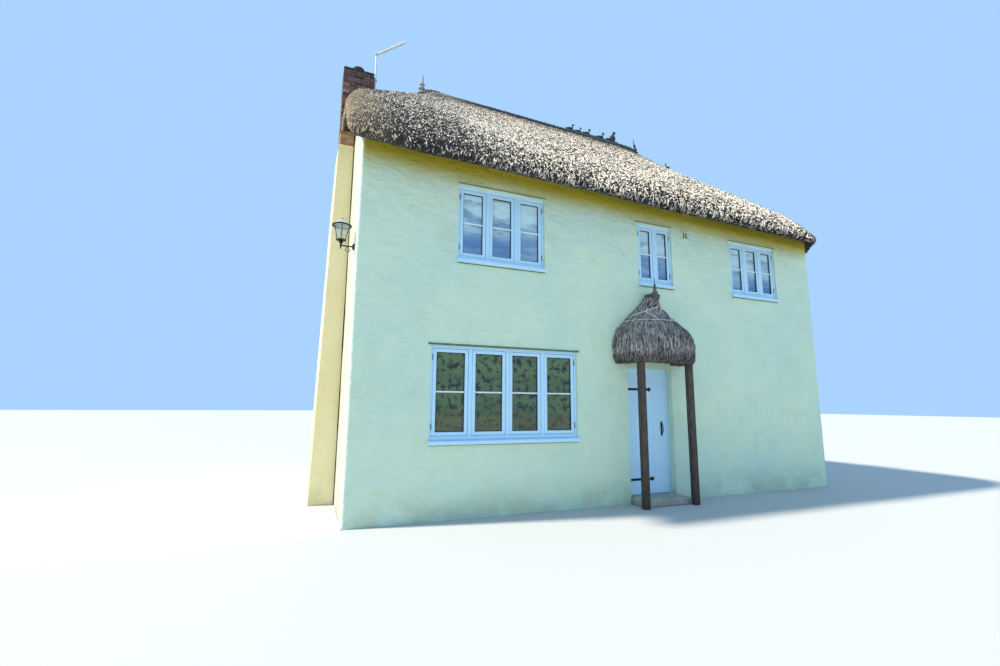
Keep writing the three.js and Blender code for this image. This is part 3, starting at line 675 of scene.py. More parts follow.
class Finishes:
    """Every material of the cottage, made once."""

    def __init__(self) -> None:
        """Makes the materials."""
        # The olive of the lumps, and of the painted shade under the eaves.
        olive = (0.53, 0.45, 0.020)
        no_eave = 20.0
        # One limewash in three copies coloured for how the light falls on each: the front's mint partly
        # stands in for cool open shade, the gable is a darker copy that the key light brings up, and the
        # breast is brighter and yellower as painted warm light bounced from the sunlit gable.
        self.front_wash = Limewash("front_limewash", (0.70, 0.84, 0.61), (0.62, 0.79, 0.62), olive).material()
        self.gable_wash = Limewash(
            "gable_limewash", (0.56, 0.53, 0.40), (0.60, 0.58, 0.47), olive, no_eave,
        ).material()
        self.breast_wash = Limewash(
            "breast_limewash", (0.90, 0.78, 0.42), (0.92, 0.82, 0.50), olive, no_eave,
        ).material()
        self.reed = Reed("cut_reed").material()
        # The bed under the tufts is near black: painted shade deep between the tufts.
        self.reed_bed = Rough("reed_bed", (0.016, 0.014, 0.016), (0.07, 0.06, 0.055), 30, 0.012).material()
        self.porch_reed = Reed(
            "weathered_porch_reed", (0.055, 0.048, 0.050), (0.16, 0.135, 0.125), (0.34, 0.30, 0.26),
            (0.62, 0.56, 0.48), 0.0, 0.45,
        ).material()
        self.straw = Straw("dark_straw").material()
        self.grey_straw = Straw("grey_straw", (0.045, 0.045, 0.050), (0.26, 0.26, 0.27)).material()
        self.pale_straw = Straw("pale_straw", (0.13, 0.12, 0.11), (0.46, 0.45, 0.42)).material()
        self.ridge_straw = RidgeStraw("ridge_straw").material()
        self.ligger = Wood("split_hazel", (0.26, 0.24, 0.22), (0.60, 0.56, 0.50), (1, 1, 1)).material()
        self.rod = Wood("peeled_rod", (0.55, 0.53, 0.50), (0.86, 0.83, 0.80), (1, 1, 1)).material()
        self.paint = Paint("pale_blue_paint", (0.54, 0.81, 0.96), (0.63, 0.86, 0.97)).material()
        self.white_paint = Paint("white_paint", (0.90, 0.94, 0.94), (0.82, 0.90, 0.92)).material()
        self.glass = WindowGlass("old_glass").material()
        # Dark green glass: its colour is a painted reflection too.
        self.room_glass = WindowGlass(
            "ground_glass", (0.045, 0.075, 0.022), (0.14, 0.20, 0.07), 0.94, 1.0, 2.2, (0.006, 0.010, 0.005),
            11.0, (1.0, 1.0, 1.0), 0.95,
        ).material()
        self.brick = Fired("sooty_brick", (
            (0.10, (0.022, 0.013, 0.012)), (0.40, (0.14, 0.060, 0.045)), (0.7, (0.30, 0.145, 0.10)),
            (1.0, (0.52, 0.32, 0.22)),
        ), 7.22, 7.72).material()
        self.shoulder_brick = Fired("orange_brick", (
            (0.10, (0.12, 0.050, 0.025)), (0.40, (0.42, 0.20, 0.08)), (0.7, (0.66, 0.40, 0.17)),
            (1.0, (0.82, 0.62, 0.32)),
        ), 8.0, 8.5).material()
        self.stack_mortar = Rough("stack_mortar", (0.13, 0.085, 0.062), (0.34, 0.225, 0.160), 20).material()
        self.clay = Fired(
            "pot_clay", ((0.0, (0.050, 0.028, 0.022)), (1.0, (0.15, 0.075, 0.05))), 7.9, 8.4, 0.002,
        ).material()
        self.mortar = Rough("mortar", (0.30, 0.25, 0.22), (0.46, 0.40, 0.36), 20).material()
        self.stone = Rough("worn_stone", (0.34, 0.31, 0.26), (0.48, 0.45, 0.39), 6, 0.006).material()
        self.boards = Wood("floor_boards", (0.16, 0.085, 0.04), (0.34, 0.20, 0.10), (0.06, 1, 1)).material()
        self.timber = Wood("dark_oak", (0.035, 0.026, 0.02), (0.12, 0.09, 0.065), (1, 1, 0.08)).material()
        self.lantern_glass = WindowGlass(
            "lantern_glass", (0.55, 0.62, 0.58), (0.80, 0.86, 0.80), 0.22, patches=(0.60, 0.66, 0.62),
        ).material()
        # Dark glazing beads, which also stand in for the shade under the sash rails.
        self.dark_bead_and_shade = Metal(
            "dark_glazing_bead", (0.040, 0.052, 0.060), (0.075, 0.085, 0.08), 0.0, 0.6,
        ).material()
        # Dark olive strips: partly weathered drip edges, partly painted shadow at the windows' heads and
        # under the sills.
        self.drip_and_shadow = Rough("olive_drip_edge", (0.10, 0.11, 0.045), (0.20, 0.22, 0.10), 18, 0.001).material()
        # Pale grey metal for the lantern's hood.
        self.pale_hood_metal = Metal("weathered_lead", (0.34, 0.37, 0.38), (0.55, 0.57, 0.55), 0.25, 0.55).material()
        self.steel = Metal("painted_steel", (0.20, 0.27, 0.34), (0.12, 0.11, 0.10), 0.3, 0.5).material()
        self.iron = Metal("black_iron", (0.018, 0.018, 0.02), (0.10, 0.045, 0.025), 0.5, 0.42).material()
        self.aluminium = Metal("dull_aluminium", (0.58, 0.66, 0.66), (0.42, 0.46, 0.47), 0.2, 0.55).material()


# Meshes


def angles(count: int, closed: bool = False) -> list[float]:
    """Evenly spread angles round a full turn. A closed run ends with the full turn."""
    return [2 * math.pi * k / count for k in range(count + closed)]


def quads(
    rows: Iterable[int], columns: Iterable[int], count: int, turned: bool = False,
) -> list[list[int]]:
    """Faces between neighbouring rings.

    Args:
        rows: The rings to start from.
        columns: The places on each ring to start from.
        count: How many points a ring has.
        turned: Makes the faces look the other way.

    Returns:
        The faces as numbers of points, with the rings one after another.
    """
    faces = []
    for i in rows:
        for k in columns:
            n = (k + 1) % count
            face = [i * count + k, i * count + n, (i + 1) * count + n, (i + 1) * count + k]
            faces.append([face[0], *face[:0:-1]] if turned else face)
    return faces


def unit(rows: np.ndarray) -> np.ndarray:
    """Vectors brought to length one."""
    return rows / (np.linalg.norm(rows, axis=2, keepdims=True) + 1e-9)


class Shape:
    """Vertices and faces gathered from simple forms."""

    def __init__(self) -> None:
        """Starts empty."""
        self.points: list[Vector] = []
        self.faces: list[list[int]] = []
        self.smooth: list[bool] = []

    def add(self, points: Iterable[Point], faces: Iterable[Sequence[int]], smooth: bool = False) -> None:
        """Adds points and the faces between them.

        Args:
            points: The new points.
            faces: The faces, as numbers of the new points.
            smooth: Whether the faces are shaded smooth.
        """
        start = len(self.points)
        self.points.extend(Vector(p) for p in points)
        for face in faces:
            self.faces.append([start + i for i in face])
            self.smooth.append(smooth)

    def box(self, low: Point, high: Point, chamfer: float = 0.003) -> None:
        """A box with chamfered edges.

        Args:
            low: Its lowest corner.
            high: Its highest corner.
            chamfer: The chamfer's width.
        """
        low, high = Vector(low), Vector(high)
        c = min(chamfer, 0.3 * min(high - low))
        signs = [(i, j, k) for i in (0, 1) for j in (0, 1) for k in (0, 1)]
        points = []
        for corner in signs:
            at = [high[a] if corner[a] else low[a] for a in range(3)]
            inward = [-c if corner[a] else c for a in range(3)]
            for kept in range(3):
                points.append([at[a] + (0 if a == kept else inward[a]) for a in range(3)])
        number = {corner: 3 * n for n, corner in enumerate(signs)}
        faces = []
        for a in range(3):
            b, d = (a + 1) % 3, (a + 2) % 3
            for side in (0, 1):
                loop = [(0, 0), (1, 0), (1, 1), (0, 1)]
                ring = []
                for q, r in loop:
                    corner = [0, 0, 0]
                    corner[a], corner[b], corner[d] = side, q, r
                    ring.append(number[tuple(corner)] + a)
                faces.append(ring if side else ring[::-1])
            for q in (0, 1):
                for r in (0, 1):
                    ends = []
                    for side in (0, 1):
                        corner = [0, 0, 0]
                        corner[a], corner[b], corner[d] = side, q, r
                        ends.append(number[tuple(corner)])
                    ring = [ends[0] + b, ends[1] + b, ends[1] + d, ends[0] + d]
                    faces.append(ring[::-1] if q == r else ring)
        for corner in signs:
            n = number[corner]
            ring = [n, n + 1, n + 2]
            faces.append(ring if sum(corner) % 2 else ring[::-1])
        self.add(points, faces)

    def turned(self, profile: Sequence[Point], centre: Point, sides: int = 32, axis: str = "Z") -> None:
        """A body of revolution.

        Args:
            profile: Radius and height pairs, from foot to top.
            centre: Where height 0 lies on the axis.
            sides: Faces round it.
            axis: The axis it turns about, X, Y or Z.
        """
        rings = []
        points = []
        for radius, height in profile:
            if radius < 1e-6:
                rings.append([len(points)])
                points.append((0.0, 0.0, height))
                continue
            rings.append(list(range(len(points), len(points) + sides)))
            for i in range(sides):
                angle = 2 * math.pi * i / sides
                points.append((radius * math.cos(angle), radius * math.sin(angle), height))
        faces = []
        for low, high in zip(rings, rings[1:]):
            for i in range(sides):
                j = (i + 1) % sides
                ring = [low[i % len(low)], low[j % len(low)], high[j % len(high)], high[i % len(high)]]
                ring = [p for k, p in enumerate(ring) if p not in ring[:k]]
                if len(ring) > 2:
                    faces.append(ring)
        quarter = math.pi / 2
        turn = {"X": Matrix.Rotation(quarter, 3, "Y"), "Y": Matrix.Rotation(-quarter, 3, "X")}.get(axis)
        placed = [(turn @ Vector(p) if turn else Vector(p)) + Vector(centre) for p in points]
        self.add(placed, faces, smooth=True)

    def tube(self, path: Sequence[Point], radius: float, sides: int = 10) -> None:
        """A round bar along a path, closed at both ends.

        Args:
            path: The points it follows.
            radius: Its radius.
            sides: Faces round it.
        """
        path = [Vector(p) for p in path]
        rings = []
        for i, point in enumerate(path):
            along = (path[min(i + 1, len(path) - 1)] - path[max(i - 1, 0)]).normalized()
            side = along.cross(Vector((0, 0, 1)))
            if side.length < 0.1:
                side = along.cross(Vector((1, 0, 0)))
            side.normalize()
            up = side.cross(along)
            rings.append([point + radius * (math.cos(a) * side + math.sin(a) * up) for a in angles(sides)])
        last = (len(path) - 1) * sides
        faces = [list(range(sides))[::-1], *quads(range(len(path) - 1), range(sides), sides)]
        faces.append([last + k for k in range(sides)])
        self.add([p for ring in rings for p in ring], faces, smooth=True)

    def hoop(
        self, centre: Point, radius: float, thick: float, sides: int = 8, count: int = 20, axis: str = "Z",
    ) -> None:
        """A round bar bent into a circle.

        Args:
            centre: The circle's middle.
            radius: The circle's radius.
            thick: The bar's radius.
            sides: Faces round the bar.
            count: Steps round the circle.
            axis: The circle's axis, X, Y or Z.
        """
        first, second = {"X": (1, 2), "Y": (0, 2), "Z": (0, 1)}[axis]
        path = []
        for angle in angles(count, True):
            point = list(centre)
            point[first] += radius * math.cos(angle)
            point[second] += radius * math.sin(angle)
            path.append(point)
        self.tube(path, thick, sides)

    def joined(self, rings: Sequence[Sequence[Point]], smooth: bool = True) -> None:
        """A closed body through rings of equally many points.

        Args:
            rings: The rings, from one end to the other.
            smooth: Whether the faces are shaded smooth.
        """
        count, last = len(rings[0]), len(rings) - 1
        faces = [list(range(count)), [last * count + k for k in range(count)][::-1]]
        faces += quads(range(last), range(count), count)
        self.add([p for ring in rings for p in ring], faces, smooth)

    def mesh(self, name: str, turn: Facing = Facing.FRONT, sharp: float = 35.0) -> bpy.types.Mesh:
        """The gathered faces as a mesh.

        Args:
            name: The mesh's name.
            turn: Turns the whole shape about the middle of the plan.
            sharp: Edges sharper than this, in degrees, stay crisp.

        Returns:
            The mesh, with its normals pointing outwards.
        """
        rotation = Matrix.Rotation(turn.value, 3, "Z")
        mesh = bpy.data.meshes.new(name)
        mesh.from_pydata([rotation @ p for p in self.points], [], self.faces)
        mesh.polygons.foreach_set("use_smooth", self.smooth)
        work = bmesh.new()
        work.from_mesh(mesh)
        bmesh.ops.recalc_face_normals(work, faces=work.faces)
        work.to_mesh(mesh)
        work.free()
        mesh.set_sharp_from_angle(angle=math.radians(sharp))
        return mesh


def linked(name: str, data: bpy.types.ID) -> bpy.types.Object:
    """A new object in the scene.

    Args:
        name: The object's name.
        data: Its mesh, lamp or camera.

    Returns:
        The object.
    """
    item = bpy.data.objects.new(name, data)
    bpy.context.scene.collection.objects.link(item)
    return item


def place(
    name: str,
    mesh: bpy.types.Mesh,
    material: bpy.types.Material,
    replaces: Sequence[str] = (),
) -> bpy.types.Object:
    """Makes a mesh a piece of the cottage.

    Args:
        name: The piece's name.
        mesh: Its mesh, in place.
        material: Its finish.
        replaces: The CAD nodes that it stands for.

    Returns:
        The piece.
    """
    piece = linked(name, mesh)
    mesh.materials.clear()
    mesh.materials.append(material)
    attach(piece, BODY)
    if replaces:
        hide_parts(*replaces)
    LOG.info("%s: %d faces", name, len(mesh.polygons))
    return piece


def applied(piece: bpy.types.Object) -> bpy.types.Mesh:
    """The mesh that an object's modifiers make. The object is removed.

    Args:
        piece: The object.

    Returns:
        The mesh.
    """
    graph = bpy.context.evaluated_depsgraph_get()
    mesh = bpy.data.meshes.new_from_object(
        piece.evaluated_get(graph), preserve_all_data_layers=True, depsgraph=graph,
    )
    bpy.data.objects.remove(piece)
    return mesh


def modified(
    mesh: bpy.types.Mesh, kind: str, settings: dict[str, object], inputs: dict[str, object] | None = None,
) -> bpy.types.Mesh:
    """A mesh after one modifier.

    Args:
        mesh: The mesh to start from.
        kind: The modifier's type.
        settings: The modifier's own properties.
        inputs: A node tree's inputs, by identifier.

    Returns:
        The new mesh.
    """
    carrier = linked(mesh.name, mesh)
    modifier = carrier.modifiers.new(kind.lower(), kind)
    for key, value in settings.items():
        setattr(modifier, key, value)
    for key, value in (inputs or {}).items():
        modifier[key] = value
    return applied(carrier)


def freed(work: bmesh.types.BMesh, name: str) -> bpy.types.Mesh:
    """A bmesh as a new mesh. The bmesh is freed.

    Args:
        work: The bmesh.
        name: The mesh's name.

    Returns:
        The mesh.
    """
    mesh = bpy.data.meshes.new(name)
    work.to_mesh(mesh)
    work.free()
    return mesh


def smoothed(mesh: bpy.types.Mesh, sharp: float | None = None) -> bpy.types.Mesh:
    """The mesh with smooth faces, and crisp edges where they are sharper than an angle in degrees.

    Args:
        mesh: The mesh to shade.
        sharp: The angle, or None for no crisp edges.

    Returns:
        The same mesh.
    """
    mesh.polygons.foreach_set("use_smooth", [True] * len(mesh.polygons))
    if sharp is not None:
        mesh.set_sharp_from_angle(angle=math.radians(sharp))
    return mesh


def give(mesh: bpy.types.Mesh, name: str, values: Sequence[float], vectors: bool = False) -> None:
    """Keeps a number or a vector for each point in the mesh."""
    kind, key = ("FLOAT_VECTOR", "vector") if vectors else ("FLOAT", "value")
    mesh.attributes.new(name, kind, "POINT").data.foreach_set(key, values)


def node_copy(node: str) -> bmesh.types.BMesh:
    """A CAD node's solid with its shared corners merged.

    Args:
        node: The node's name.

    Returns:
        The copy.
    """
    work = bmesh.new()
    work.from_mesh(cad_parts[node].data)
    bmesh.ops.remove_doubles(work, verts=work.verts, dist=1e-5)
    return work


def softened(node: str, width: float, segments: int = 2) -> bpy.types.Mesh:
    """A copy of a CAD node with its edges eased.

    Args:
        node: The node.
        width: How wide the eased edge is.
        segments: Faces across it.

    Returns:
        The new mesh.
    """
    work = node_copy(node)
    bmesh.ops.dissolve_limit(work, angle_limit=0.02, verts=work.verts, edges=work.edges)
    ease = {
        "width": width, "segments": segments, "limit_method": "ANGLE", "angle_limit": math.radians(25),
        "use_clamp_overlap": True,
    }
    return smoothed(modified(freed(work, f"{node}_eased"), "BEVEL", ease), 32)


def ripple(point: Vector, scale: float, seed: float = 0.0) -> float:
    """Smooth noise between about -1 and 1 at a point."""
    return noise.noise(point * scale + Vector((seed, 2.3 * seed, 5.1 * seed)))


# Repeated pieces


@dataclass
class Spot:
    """Where a repeated piece goes, how it is turned and sized, and its tone."""

    at: Point
    turn: Point = (0.0, 0.0, 0.0)
    size: Point = (1.0, 1.0, 1.0)
    shade: float = 0.5


class Scatter:
    """A geometry tree that copies a form over a mesh and ends in one mesh with a finish."""

    def __init__(self, name: str, inputs: Sequence[tuple[str, str]]) -> None:
        """Makes the tree's sockets.

        Args:
            name: The tree's name.
            inputs: The name and the kind of each input.
        """
        self.tree = bpy.data.node_groups.new(name, "GeometryNodeTree")
        self.graph = Graph(self.tree)
        face = self.tree.interface
        self.sockets = {
            key: face.new_socket(key, in_out="INPUT", socket_type=f"NodeSocket{kind}").identifier
            for key, kind in inputs
        }
        face.new_socket("Result", in_out="OUTPUT", socket_type="NodeSocketGeometry")
        self.start = self.graph.node("NodeGroupInput")

    def given(self, key: str) -> Signal:
        """One of the tree's inputs."""
        return Signal(self.graph, self.start.outputs[key])

    def kept(self, name: str, kind: str = "FLOAT") -> Signal:
        """An attribute of the mesh."""
        node = self.graph.node("GeometryNodeInputNamedAttribute", {"data_type": kind}, {"Name": name})
        return self.graph.output(node)

    def end(self, copies: bpy.types.Node) -> None:
        """Makes the copies real and gives them the finish.

        Args:
            copies: The node that makes the copies.
        """
        real = self.graph.node("GeometryNodeRealizeInstances", values={"Geometry": copies.outputs[0]})
        coloured = self.graph.node("GeometryNodeSetMaterial", values={
            "Geometry": real.outputs[0], "Material": self.given("Finish"),
        })
        self.graph.node("NodeGroupOutput", values={"Result": coloured.outputs[0]})

    def run(self, name: str, mesh: bpy.types.Mesh, values: dict[str, object]) -> bpy.types.Mesh:
        """The tree's result on a mesh, with the tree's inputs by name.

        Args:
            name: The new mesh's name.
            mesh: The mesh to copy over.
            values: The tree's inputs by name.

        Returns:
            The copies as one mesh.
        """
        inputs = {self.sockets[key]: value for key, value in values.items()}
        result = modified(mesh, "NODES", {"node_group": self.tree}, inputs)
        result.name = name
        return result


class Pattern(Scatter):
    """Puts one form on every point of a mesh."""

    def __init__(self) -> None:
        """Builds the tree, with the form and the finish as its inputs."""
        super().__init__("pattern", (("Points", "Geometry"), ("Form", "Object"), ("Finish", "Material")))
        form = self.graph.node("GeometryNodeObjectInfo", values={"Object": self.given("Form")})
        self.end(self.graph.node("GeometryNodeInstanceOnPoints", values={
            "Points": self.given("Points"), "Instance": form.outputs["Geometry"],
            "Rotation": self.kept("turn", "FLOAT_VECTOR"), "Scale": self.kept("size", "FLOAT_VECTOR"),
        }))

    def mesh(
        self, name: str, form: bpy.types.Mesh, spots: Sequence[Spot], finish: bpy.types.Material,
    ) -> bpy.types.Mesh:
        """Repeats a form.

        Args:
            name: The new mesh's name.
            form: The mesh to repeat.
            spots: Where each copy goes.
            finish: The copies' material.

        Returns:
            One mesh of all the copies, with each one's tone in its "shade" attribute.
        """
        points = bpy.data.meshes.new(f"{name}_spots")
        points.from_pydata([tuple(s.at) for s in spots], [], [])
        for key in ("turn", "size"):
            give(points, key, [c for s in spots for c in getattr(s, key)], True)
        give(points, "shade", [s.shade for s in spots])
        single = linked(f"{name}_form", form)
        result = self.run(name, points, {"Form": single, "Finish": finish})
        bpy.data.objects.remove(single)
        return result


class ReedTufts(Scatter):
    """Lays tufts of reed over a skin, with their cut ends down the slope."""

    def __init__(self) -> None:
        """Builds the tree."""
        super().__init__("reed_tufts", (
            ("Skin", "Geometry"), ("Tufts per square metre", "Float"), ("Tuft length", "Float"),
            ("Tuft width", "Float"), ("Wander", "Float"), ("Lift", "Float"), ("Seed", "Int"),
            ("Finish", "Material"),
        ))
        graph = self.graph
        points = graph.node("GeometryNodeDistributePointsOnFaces", values={
            "Mesh": self.given("Skin"), "Density": self.kept("keep") * self.given("Tufts per square metre"),
            "Seed": self.given("Seed"),
        })
        lie = graph.node("FunctionNodeAxesToRotation", {"primary_axis": "Z", "secondary_axis": "X"}, {
            "Primary Axis": points.outputs["Normal"], "Secondary Axis": self.kept("fall", "FLOAT_VECTOR"),
        })
        down = self.kept("down")
        at_lip = down.between(1.00, 1.12)
        yaw = self._random(11, -1.0, 1.0) * self.given("Wander")
        pitch = (self._random(23, 0.2, 1.0) * self.given("Lift") * (1.0 - at_lip * 0.75)) * -1.0
        swing = graph.node("ShaderNodeCombineXYZ", values={"Y": pitch, "Z": yaw})
        swung = graph.node("FunctionNodeEulerToRotation", values={"Euler": swing.outputs[0]})
        turn = graph.node("FunctionNodeRotateRotation", {"rotation_space": "LOCAL"}, {
            "Rotation": lie.outputs[0], "Rotate By": swung.outputs[0],
        })
        place_x = graph.output(graph.node("ShaderNodeSeparateXYZ", values={
            "Vector": graph.node("GeometryNodeInputPosition").outputs[0],
        }), "X")
        near = 1.0 - place_x.between(-0.5, -3.2) * 0.27
        big = (down.between(0.05, 0.45) * 0.35 + 0.70) * (1.0 - at_lip * 0.40) * near
        length = self._random(37, 0.6, 1.3) * big * (down.between(0.11, 0.05) * 1.1 + 1.0)
        width = self._random(41, 0.6, 1.35) * big * (1.0 - down.between(0.20, 0.10) * 0.40)
        size = graph.node("ShaderNodeCombineXYZ", values={"X": length, "Y": width, "Z": width})
        cone = graph.node("GeometryNodeMeshCone", {"fill_type": "NGON"}, {
            "Vertices": 3, "Radius Top": 0.0,
            "Radius Bottom": self.given("Tuft width"), "Depth": self.given("Tuft length"),
        })
        laid = graph.node("GeometryNodeTransform", values={
            "Geometry": cone.outputs["Mesh"], "Rotation": (0.0, -math.pi / 2, 0.0),
        })
        spread = graph.node("GeometryNodeInstanceOnPoints", values={
            "Points": points.outputs["Points"], "Instance": laid.outputs[0],
            "Rotation": turn.outputs[0], "Scale": size.outputs[0],
        })
        self.end(graph.node("GeometryNodeStoreNamedAttribute", {"data_type": "FLOAT", "domain": "INSTANCE"}, {
            "Geometry": spread.outputs[0], "Name": "shade", "Value": self._random(53, 0.0, 1.0),
        }))

    def _random(self, offset: int, low: float, high: float) -> Signal:
        """A random number for each tuft.

        Args:
            offset: Sets this number apart from the others.
            low: The least.
            high: The most.

        Returns:
            The number.
        """
        own = self.graph.node("FunctionNodeIntegerMath", {"operation": "ADD"}, {
            0: self.given("Seed"), 1: offset,
        })
        node = self.graph.node("FunctionNodeRandomValue", {"data_type": "FLOAT"}, {
            "Min_001": low, "Max_001": high, "Seed": own.outputs[0],
        })
        return self.graph.output(node, "Value_001")

    def mesh(
        self, name: str, skin: bpy.types.Mesh, finish: bpy.types.Material, **values: float,
    ) -> bpy.types.Mesh:
        """Lays the tufts.

        Args:
            name: The new mesh's name.
            skin: A mesh with "keep", "down" and "fall" attributes.
            finish: The tufts' material.
            values: The tree's other inputs by name, with _ for a space.

        Returns:
            The tufts as one mesh.
        """
        named = {key.replace("_", " "): value for key, value in values.items()}
        return self.run(name, skin, {**named, "Finish": finish})


# The roof


@dataclass(frozen=True)
class RoofForm:
    """The thatch's surfaces, over plan points from the house's front left corner."""

    length: float = 8.52
    depth: float = 5.40
    head_left: float = 4.90
    head_right: float = 4.70
    main_slope: float = 0.9
    hip_slope: float = 1.285
    hip_foot: float = 4.61
    half_hip_slope: float = 0.91
    half_hip_foot: float = 6.18
    rise: float = 0.50
    softness: float = 0.07
    hip_softness: float = 0.44
    soft_from: float = 5.0
    soft_length: float = 1.5
    soft_width: float = 1.0
    eave_overhang: float = 0.50
    verge_overhang: float = 0.208
    hip_overhang: float = 0.25
    verge_corner: float = 0.24
    hip_corner: float = 1.0
    brow: tuple[tuple[float, float], ...] = (
        (0.156, 0.0), (0.11, 0.012), (0.07, 0.045), (0.0375, 0.100), (0.0125, 0.170), (0.0, 0.250),
    )
    lip: tuple[tuple[float, float], ...] = ((0.05, 0.325), (0.16, 0.385), (0.3, 0.415))
    thinning: float = 0.75

    @property
    def middle(self) -> float:
        """Half of the depth, where the ridge runs."""
        return self.depth / 2

    def slopes(self, x: np.ndarray, y: np.ndarray) -> np.ndarray:
        """Heights of the underside's four slopes: front, back, right hip and left half hip.

        Args:
            x: Plan x from the house's front left corner.
            y: Plan y from that corner.

        Returns:
            A row of heights for each slope.
        """
        head = self.head_left + (self.head_right - self.head_left) * x / self.length
        return np.stack([
            head + self.main_slope * y,
            head + self.main_slope * (self.depth - y),
            self.hip_foot + self.hip_slope * (self.length - x),
            self.half_hip_foot - self.rise + self.half_hip_slope * (x + self.verge_overhang),
        ])

    def under(self, x: np.ndarray, y: np.ndarray) -> np.ndarray:
        """Height of the underside."""
        return self.slopes(x, y).min(0)

    def top(self, x: np.ndarray, y: np.ndarray) -> np.ndarray:
        """Height of the top, rounded over its ridge and hips.

        Args:
            x: Plan x from the house's front left corner.
            y: Plan y from that corner.

        Returns:
            The heights.
        """
        along = np.clip((x - self.soft_from) / self.soft_length, 0, 1)
        out = np.clip(np.abs(y - self.middle) / self.soft_width, 0, 1)
        soft = self.softness + (self.hip_softness - self.softness) * along * out
        heights = self.slopes(x, y) + self.rise
        low = heights.min(0)
        return low - soft * np.log(np.exp((low - heights) / soft).sum(0))

    def lowered(self, x: np.ndarray, y: np.ndarray, drop: float) -> np.ndarray:
        """Height at a drop below the top, where the eave is thinner the more its hips are rounded.

        Args:
            x: Plan x from the house's front left corner.
            y: Plan y from that corner.
            drop: How far down.

        Returns:
            The heights.
        """
        top = self.top(x, y)
        rounding = self.under(x, y) + self.rise - top
        return top - drop * (1 - self.thinning * rounding / self.lip[-1][1])

    def ridge_ends(self) -> tuple[float, float]:
        """Where the underside's ridge meets the half hip and the hip.

        Returns:
            Both ends as plan x.
        """
        fall = (self.head_right - self.head_left) / self.length
        peak = self.head_left + self.main_slope * self.middle
        gable = self.half_hip_foot - self.rise + self.half_hip_slope * self.verge_overhang
        left = (peak - gable) / (self.half_hip_slope - fall)
        right = (self.hip_foot + self.hip_slope * self.length - peak) / (self.hip_slope + fall)
        return left, right

    def eaves(self, step: float) -> tuple[np.ndarray, np.ndarray]:
        """Points round the eaves from the front left corner, and the side that each belongs to.

        Args:
            step: How far apart they lie.

        Returns:
            Plan points, and 0 to 3 for front, right, back and left.
        """
        x0, x1 = -self.verge_overhang, self.length + self.hip_overhang
        y0, y1 = -self.eave_overhang, self.depth + self.eave_overhang
        v, h = self.verge_corner, self.hip_corner
        points: list[tuple[float, float]] = []
        sides: list[int] = []

        def span(start: Point, end: Point, side: int) -> None:
            """Adds points along a straight edge.

            Args:
                start: The first point.
                end: The end, which isn't added.
                side: The side that they belong to.
            """
            count = max(2, round(math.dist(start, end) / step))
            for i in range(count):
                points.append(tuple(a + (b - a) * i / count for a, b in zip(start, end)))
                sides.append(side)

        def corner(cx: float, cy: float, radius: float, start: float, side: int) -> None:
            """Adds points round a corner.

            Args:
                cx: The corner's middle, x.
                cy: The corner's middle, y.
                radius: Its radius.
                start: The angle that it starts at.
                side: The side that they belong to.
            """
            count = max(8, round(math.pi / 2 * radius / step))
            for i in range(count):
                angle = start + math.pi / 2 * i / count
                points.append((cx + radius * math.cos(angle), cy + radius * math.sin(angle)))
                sides.append(side)

        span((x0 + v, y0), (x1 - h, y0), 0)
        corner(x1 - h, y0 + h, h, -math.pi / 2, 1)
        span((x1, y0 + h), (x1, y1 - h), 1)
        corner(x1 - h, y1 - h, h, 0, 1)
        span((x1 - h, y1), (x0 + v, y1), 2)
        corner(x0 + v, y1 - v, v, math.pi / 2, 3)
        span((x0, y1 - v), (x0, y0 + v), 3)
        corner(x0 + v, y0 + v, v, math.pi, 3)
        return np.array(points), np.array(sides)


